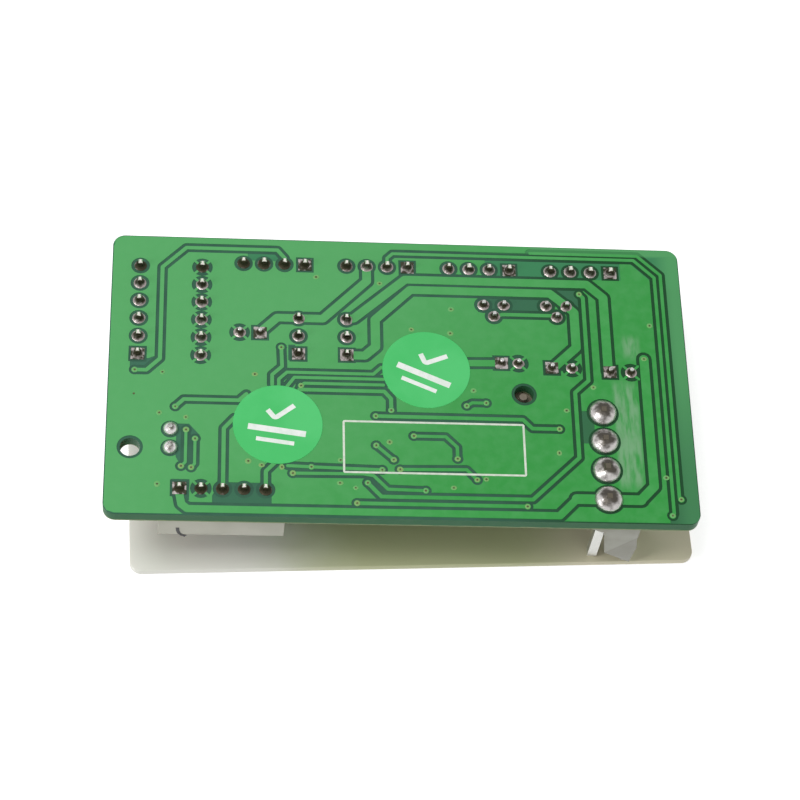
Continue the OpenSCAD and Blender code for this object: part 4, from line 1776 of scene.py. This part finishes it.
@dataclass
class Connectors:
    """The plug ports, the data header and the power header."""

    edge: float = 0.14
    front_wall: float = 0.3
    corner_x: float = 24.1
    corner_back: float = 1.2
    ear_fold: Point = (25.2, -10.2)
    ear_bend: float = 0.12
    stroke: float = 0.42
    stroke_depth: float = 0.02

    def build(self) -> None:
        """Builds the shrouds and their pins."""
        pins = Pins()
        for name in ("port_1", "port_2", "port_3", "port_4", "data_header"):
            dress(name + "_shroud", Palette.WHITE, self.edge, "white_nylon")
            pins.build(name + "_pins", Palette.PIN, "tinned_metal")
        self.power_base()
        Pins(side=1.14, taper=0.26).build("power_header_pins", Palette.POWER_PIN, "tinned_metal")
        self.ink()

    def power_base(self) -> None:
        """Builds the power header's base: its free corner cut back, its ear curled to the rear."""
        made = softened("power_header_base", Palette.NATURAL, 0.12)
        mesh = bmesh.new()
        mesh.from_mesh(made.data)
        front = min(vert.co.y for vert in mesh.verts)
        start = at_board(self.ear_fold[0], 0.0, BOARD_TOP + self.ear_fold[1])
        across = Vector(EAR_ACROSS)
        side = at_board(self.corner_x, 0.0, BOARD_TOP)
        for point, normal in ((start, across), (side, Vector((1.0, 0.0, 0.0)))):
            whole = mesh.verts[:] + mesh.edges[:] + mesh.faces[:]
            bmesh.ops.bisect_plane(mesh, geom=whole, plane_co=point, plane_no=normal)
        for vert in mesh.verts:
            past = (vert.co - start).dot(across)
            if vert.co.y > front + self.front_wall * MM:
                continue
            if vert.co.x < side.x - 0.01 * MM:
                vert.co.y += self.corner_back * MM
            elif past > 0:
                vert.co.y += self.ear_bend * past
        mesh.to_mesh(made.data)
        mesh.free()
        seat(made, "board", "natural_nylon", "power_header_base")

    def ink(self) -> None:
        """Draws the short pen stroke on the data header's front wall."""
        low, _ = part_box("data_header_shroud")
        bends = ((-26.9, -5.6), (-26.85, -6.4), (-26.7, -7.0), (-26.4, -7.45), (-25.9, -7.75))
        path = [at_board(x, 0.0, BOARD_TOP + z) for x, z in bends]
        for point in path:
            point.y = low.y - self.stroke_depth / 2 * MM
        stroke = REPEATER.ribbon(
            "pen_stroke", path, self.stroke, self.stroke, Palette.PEN, corner=0.2
        )
        depth = self.stroke_depth * MM
        for vert in stroke.data.vertices:
            vert.co.y = low.y + max(-depth, min(depth, vert.co.y - low.y))
        seat(stroke, "board", "white_nylon")


@dataclass
class SelectorSwitch:
    """The six-way slide switch: base, cover, terminals and sliders."""

    ways: int = 6

    def build(self) -> None:
        """Builds the switch."""
        dress("dip_base", Palette.BLACK, 0.12, "black_plastic")
        dress("dip_cover", Palette.BLUE, 0.12, "blue_plastic")
        Pins(side=0.62).build("dip_terminals", Palette.PIN, "tinned_metal")
        for n in range(1, self.ways + 1):
            dress(f"slider_{n}", Palette.WHITE, 0.1, "white_nylon", f"slider_{n}")


@dataclass
class Jumpers:
    """Two three-pin headers, each with a pull-off shunt cap."""

    def build(self) -> None:
        """Builds both headers and caps."""
        for n in (1, 2):
            name, cap = f"jumper_{n}", f"shunt_{n}"
            dress(name + "_base", Palette.BLACK, 0.2, "black_plastic")
            Pins().build(name + "_pins", Palette.GOLD_PIN, "gold_metal")
            dress(name + "_shunt", Palette.BLACK, 0.22, "black_plastic", cap)
            dress(name + "_contact", Palette.GOLD, 0.03, "gold_metal", cap, 1)


# --- round parts and chips ------------------------------------------------------------


@dataclass
class Capacitors:
    """Four sleeved cans with their rubber bungs and leads."""

    def can(self, node: str) -> Obj:
        """Builds one can: sleeve, crimp groove and rolled end; the vented cap is built by cap.

        Args:
            node: the CAD node.

        Returns:
            The piece.
        """
        axis, r, z0, z1 = upright(node)
        profile = [
            (0, z0 + 0.12), (r * 0.7, z0 + 0.12), (r * 0.78, z0 + 0.02), (r - 0.22, z0),
            (r - 0.05, z0 + 0.12), (r, z0 + 0.4), (r, z1 - 2.3), (r - 0.1, z1 - 2.0),
            (r - 0.3, z1 - 1.8), (r - 0.1, z1 - 1.6), (r, z1 - 1.3), (r, z1 - 0.25),
            (r - 0.12, z1), (r - 0.4, z1 - 0.05), (r - 0.45, z1 - 0.3), (0, z1 - 0.3),
        ]
        body = lathe(profile, 40)
        body.transform(Matrix.Translation(axis))
        return piece(node + "_sleeve", body, Palette.SLEEVE)

    def cap(self, node: str) -> Obj:
        """Builds the bare end disc with its three-way vent.

        Args:
            node: the CAD node.

        Returns:
            The piece.
        """
        axis, radius, z0, _ = upright(node)
        r, face = radius * 0.68, z0 + 0.02
        body = lathe([(0, face), (r * 0.9, face), (r, z0 + 0.08), (r, z0 + 0.3), (0, z0 + 0.3)], 36)
        body.transform(Matrix.Translation(axis))
        parts = [body]
        for k in range(3):
            spin = Matrix.Rotation(math.radians(120 * k), 4, "Z")
            rib = block((r * 0.7, 0.22, 0.06), Vector((r * 0.42 * MM, 0, face * MM)), 0.02)
            rib.transform(Matrix.Translation(axis) @ spin)
            parts.append(rib)
        return piece(node + "_end", joined(parts), Palette.CAN_END)

    def build(self) -> None:
        """Builds the four capacitors."""
        for n in range(1, 5):
            node = f"capacitor_{n}_can"
            seat(self.can(node), "board", "can_sleeve", node)
            seat(self.cap(node), "board", "tinned_metal")
        dress("capacitor_bungs", Palette.RUBBER, 0.1, "black_rubber")
        dress("capacitor_leads", Palette.TIN, 0.06, "tinned_metal", steps=1)


@dataclass
class SmallParts:
    """Transistors, status lamp, controller, regulator and chip parts."""

    def chip_ends(self, node: str) -> Obj:
        """Builds the tinned end caps of a node's chips.

        Args:
            node: the CAD node.

        Returns:
            The piece.
        """
        parts = []
        for low, high in islands(node):
            size = (high - low) / MM
            along = 0 if size.x > size.y else 1
            cap = Vector((size.x + 0.03, size.y + 0.03, size.z + 0.02))
            cap[along] = 0.32
            for side in (low, high):
                at = (low + high) / 2
                at[along] = side[along] + (0.15 * MM if side is low else -0.15 * MM)
                parts.append(block(tuple(cap), at, 0.05))
        return piece(node + "_ends", joined(parts), Palette.TIN)

    def dimple(self, node: str) -> Obj:
        """Builds the round moulding mark by a chip's first lead.

        Args:
            node: the CAD node.

        Returns:
            The piece.
        """
        low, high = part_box(node)
        body = lathe([(0, 0.0), (0.5, 0.0), (0.5, -0.012), (0.38, -0.014), (0, -0.014)], 24)
        body.transform(Matrix.Translation(Vector((low.x + 1.2 * MM, low.y + 1.2 * MM, low.z))))
        return piece(node + "_mark", body, Palette.RUBBER)

    def build(self) -> None:
        """Builds the small parts."""
        for n in (1, 2):
            dress(f"transistor_{n}_case", Palette.BLACK, 0.15, "black_plastic")
            dress(f"transistor_{n}_leads", Palette.TIN, 0.05, "tinned_metal", steps=1)
        dress("status_lamp_lens", Palette.LENS, 0.08, "red_lens")
        dress("status_lamp_leads", Palette.TIN, 0.06, "tinned_metal", steps=1)
        for name in ("controller", "regulator"):
            dress(name + "_case", Palette.BLACK, 0.14, "black_plastic")
            dress(name + "_leads", Palette.TIN, 0.05, "tinned_metal", steps=1)
            seat(self.dimple(name + "_case"), "board", "black_plastic")
        dress("chip_resistors", Palette.RESISTOR, 0.04, "chip_ceramic", steps=1)
        seat(self.chip_ends("chip_resistors"), "board", "tinned_metal")
        dress("chip_capacitors", Palette.CERAMIC, 0.04, "chip_capacitor_ceramic", steps=1)
        seat(self.chip_ends("chip_capacitors"), "board", "tinned_metal")


@dataclass
class BasePlate:
    """The milky base plate and the post that carries the board."""

    def build(self) -> None:
        """Builds the plate and the post."""
        dress("base_plate", Palette.SHEET, 0.22, "milky_sheet", "base")
        dress("support_post", Palette.POST, 0.12, "natural_nylon", "base")


# --- studio ---------------------------------------------------------------------------


@dataclass
class Studio:
    """Camera, soft lamps and a pale floor that shows as white."""

    camera_at: Point3 = (-25.85, -154.60, 277.17)
    looks_at: Point3 = (-0.213, -3.265, 15.4)
    roll: float = 9.6525
    lens: float = 112.73
    sky: float = 0.44
    floor_glow: float = 0.62

    def camera(self) -> None:
        """Places the camera."""
        lens = bpy.data.cameras.new("camera")
        lens.lens = self.lens
        lens.sensor_width = 36.0
        lens.clip_start, lens.clip_end = 0.01, 10.0
        made = placed("camera", lens)
        start, aim = Vector(self.camera_at) * MM, Vector(self.looks_at) * MM
        look = (aim - start).to_track_quat("-Z", "Y")
        made.rotation_mode = "QUATERNION"
        made.location = start
        made.rotation_quaternion = look @ Quaternion((0, 0, 1), math.radians(self.roll))
        bpy.context.scene.camera = made

    def lamp(self, name: str, at: Sequence[float], size: float, power: float) -> None:
        """Hangs a square softbox that faces the board.

        Args:
            name: the lamp's name.
            at: its place in metres.
            size: its side in metres.
            power: its power in watts.
        """
        light = bpy.data.lights.new(name, "AREA")
        light.shape, light.size, light.energy = "SQUARE", size, power
        made = placed(name, light)
        made.location = at
        made.rotation_mode = "QUATERNION"
        made.rotation_quaternion = (Vector((0, 0, 0.012)) - Vector(at)).to_track_quat("-Z", "Y")

    @staticmethod
    def shown(tree: Tree) -> Sock:
        """Finds what the camera sees itself, in gloss or through a clear part.

        Args:
            tree: the node tree to build in.

        Returns:
            1 for those rays, 0 for the others.
        """
        camera, gloss, clear = (
            tree.node("ShaderNodeLightPath", {}, {}, f"Is {kind} Ray")
            for kind in ("Camera", "Glossy", "Transmission")
        )
        return (camera + gloss + clear).math("MINIMUM", 1.0)

    def backdrop(self) -> None:
        """Makes the world white to the eye and plain to the object."""
        world = bpy.data.worlds.new("studio")
        bpy.context.scene.world = world
        world.use_nodes = True
        world.node_tree.nodes.clear()
        tree = Tree(world.node_tree)
        level = self.shown(tree) * (1.0 - self.sky) + self.sky
        glow = tree.node("ShaderNodeBackground", {}, {"Color": (1, 1, 1, 1), "Strength": level})
        tree.node("ShaderNodeOutputWorld", {}, {"Surface": glow})

    def floor(self) -> None:
        """Lays the floor."""
        mesh = bmesh.new()
        bmesh.ops.create_grid(mesh, x_segments=2, y_segments=2, size=1.5)
        mesh.transform(Matrix.Translation((0, 0, -0.00004)))
        paper = bpy.data.materials.new("floor_paper")
        paper.use_nodes = True
        paper.node_tree.nodes.clear()
        tree = Tree(paper.node_tree)
        pale = tree.node("ShaderNodeBsdfDiffuse", {}, {"Color": (0.86, 0.86, 0.86, 1)})
        glow = self.shown(tree) * self.floor_glow
        white = tree.node("ShaderNodeEmission", {}, {"Color": (1, 1, 1, 1), "Strength": glow})
        both = tree.node("ShaderNodeAddShader", {}, {0: pale, 1: white})
        tree.node("ShaderNodeOutputMaterial", {}, {"Surface": both})
        sheet = settled("floor", mesh)
        sheet.materials.append(paper)
        ground = placed("floor", sheet)

    def build(self) -> None:
        """Builds the studio."""
        self.camera()
        self.backdrop()
        self.floor()
        self.lamp("top_softbox", (-0.24, -0.06, 0.66), 0.3, 2.2)
        self.lamp("left_softbox", (-0.5, -0.22, 0.3), 0.2, 0.6)
        bpy.context.scene.view_settings.view_transform = "Standard"


def main() -> None:
    """Builds every sub-assembly in order."""
    logging.basicConfig(level=logging.INFO, format="%(name)s %(message)s")
    for part in (
        Studio(), CircuitBoard(), SolderWork(), InspectionStickers(), Connectors(),
        SelectorSwitch(), Jumpers(), Capacitors(), SmallParts(), BasePlate(),
    ):
        LOG.info("building %s", type(part).__name__)
        part.build()


if __name__ == "__main__":
    main()
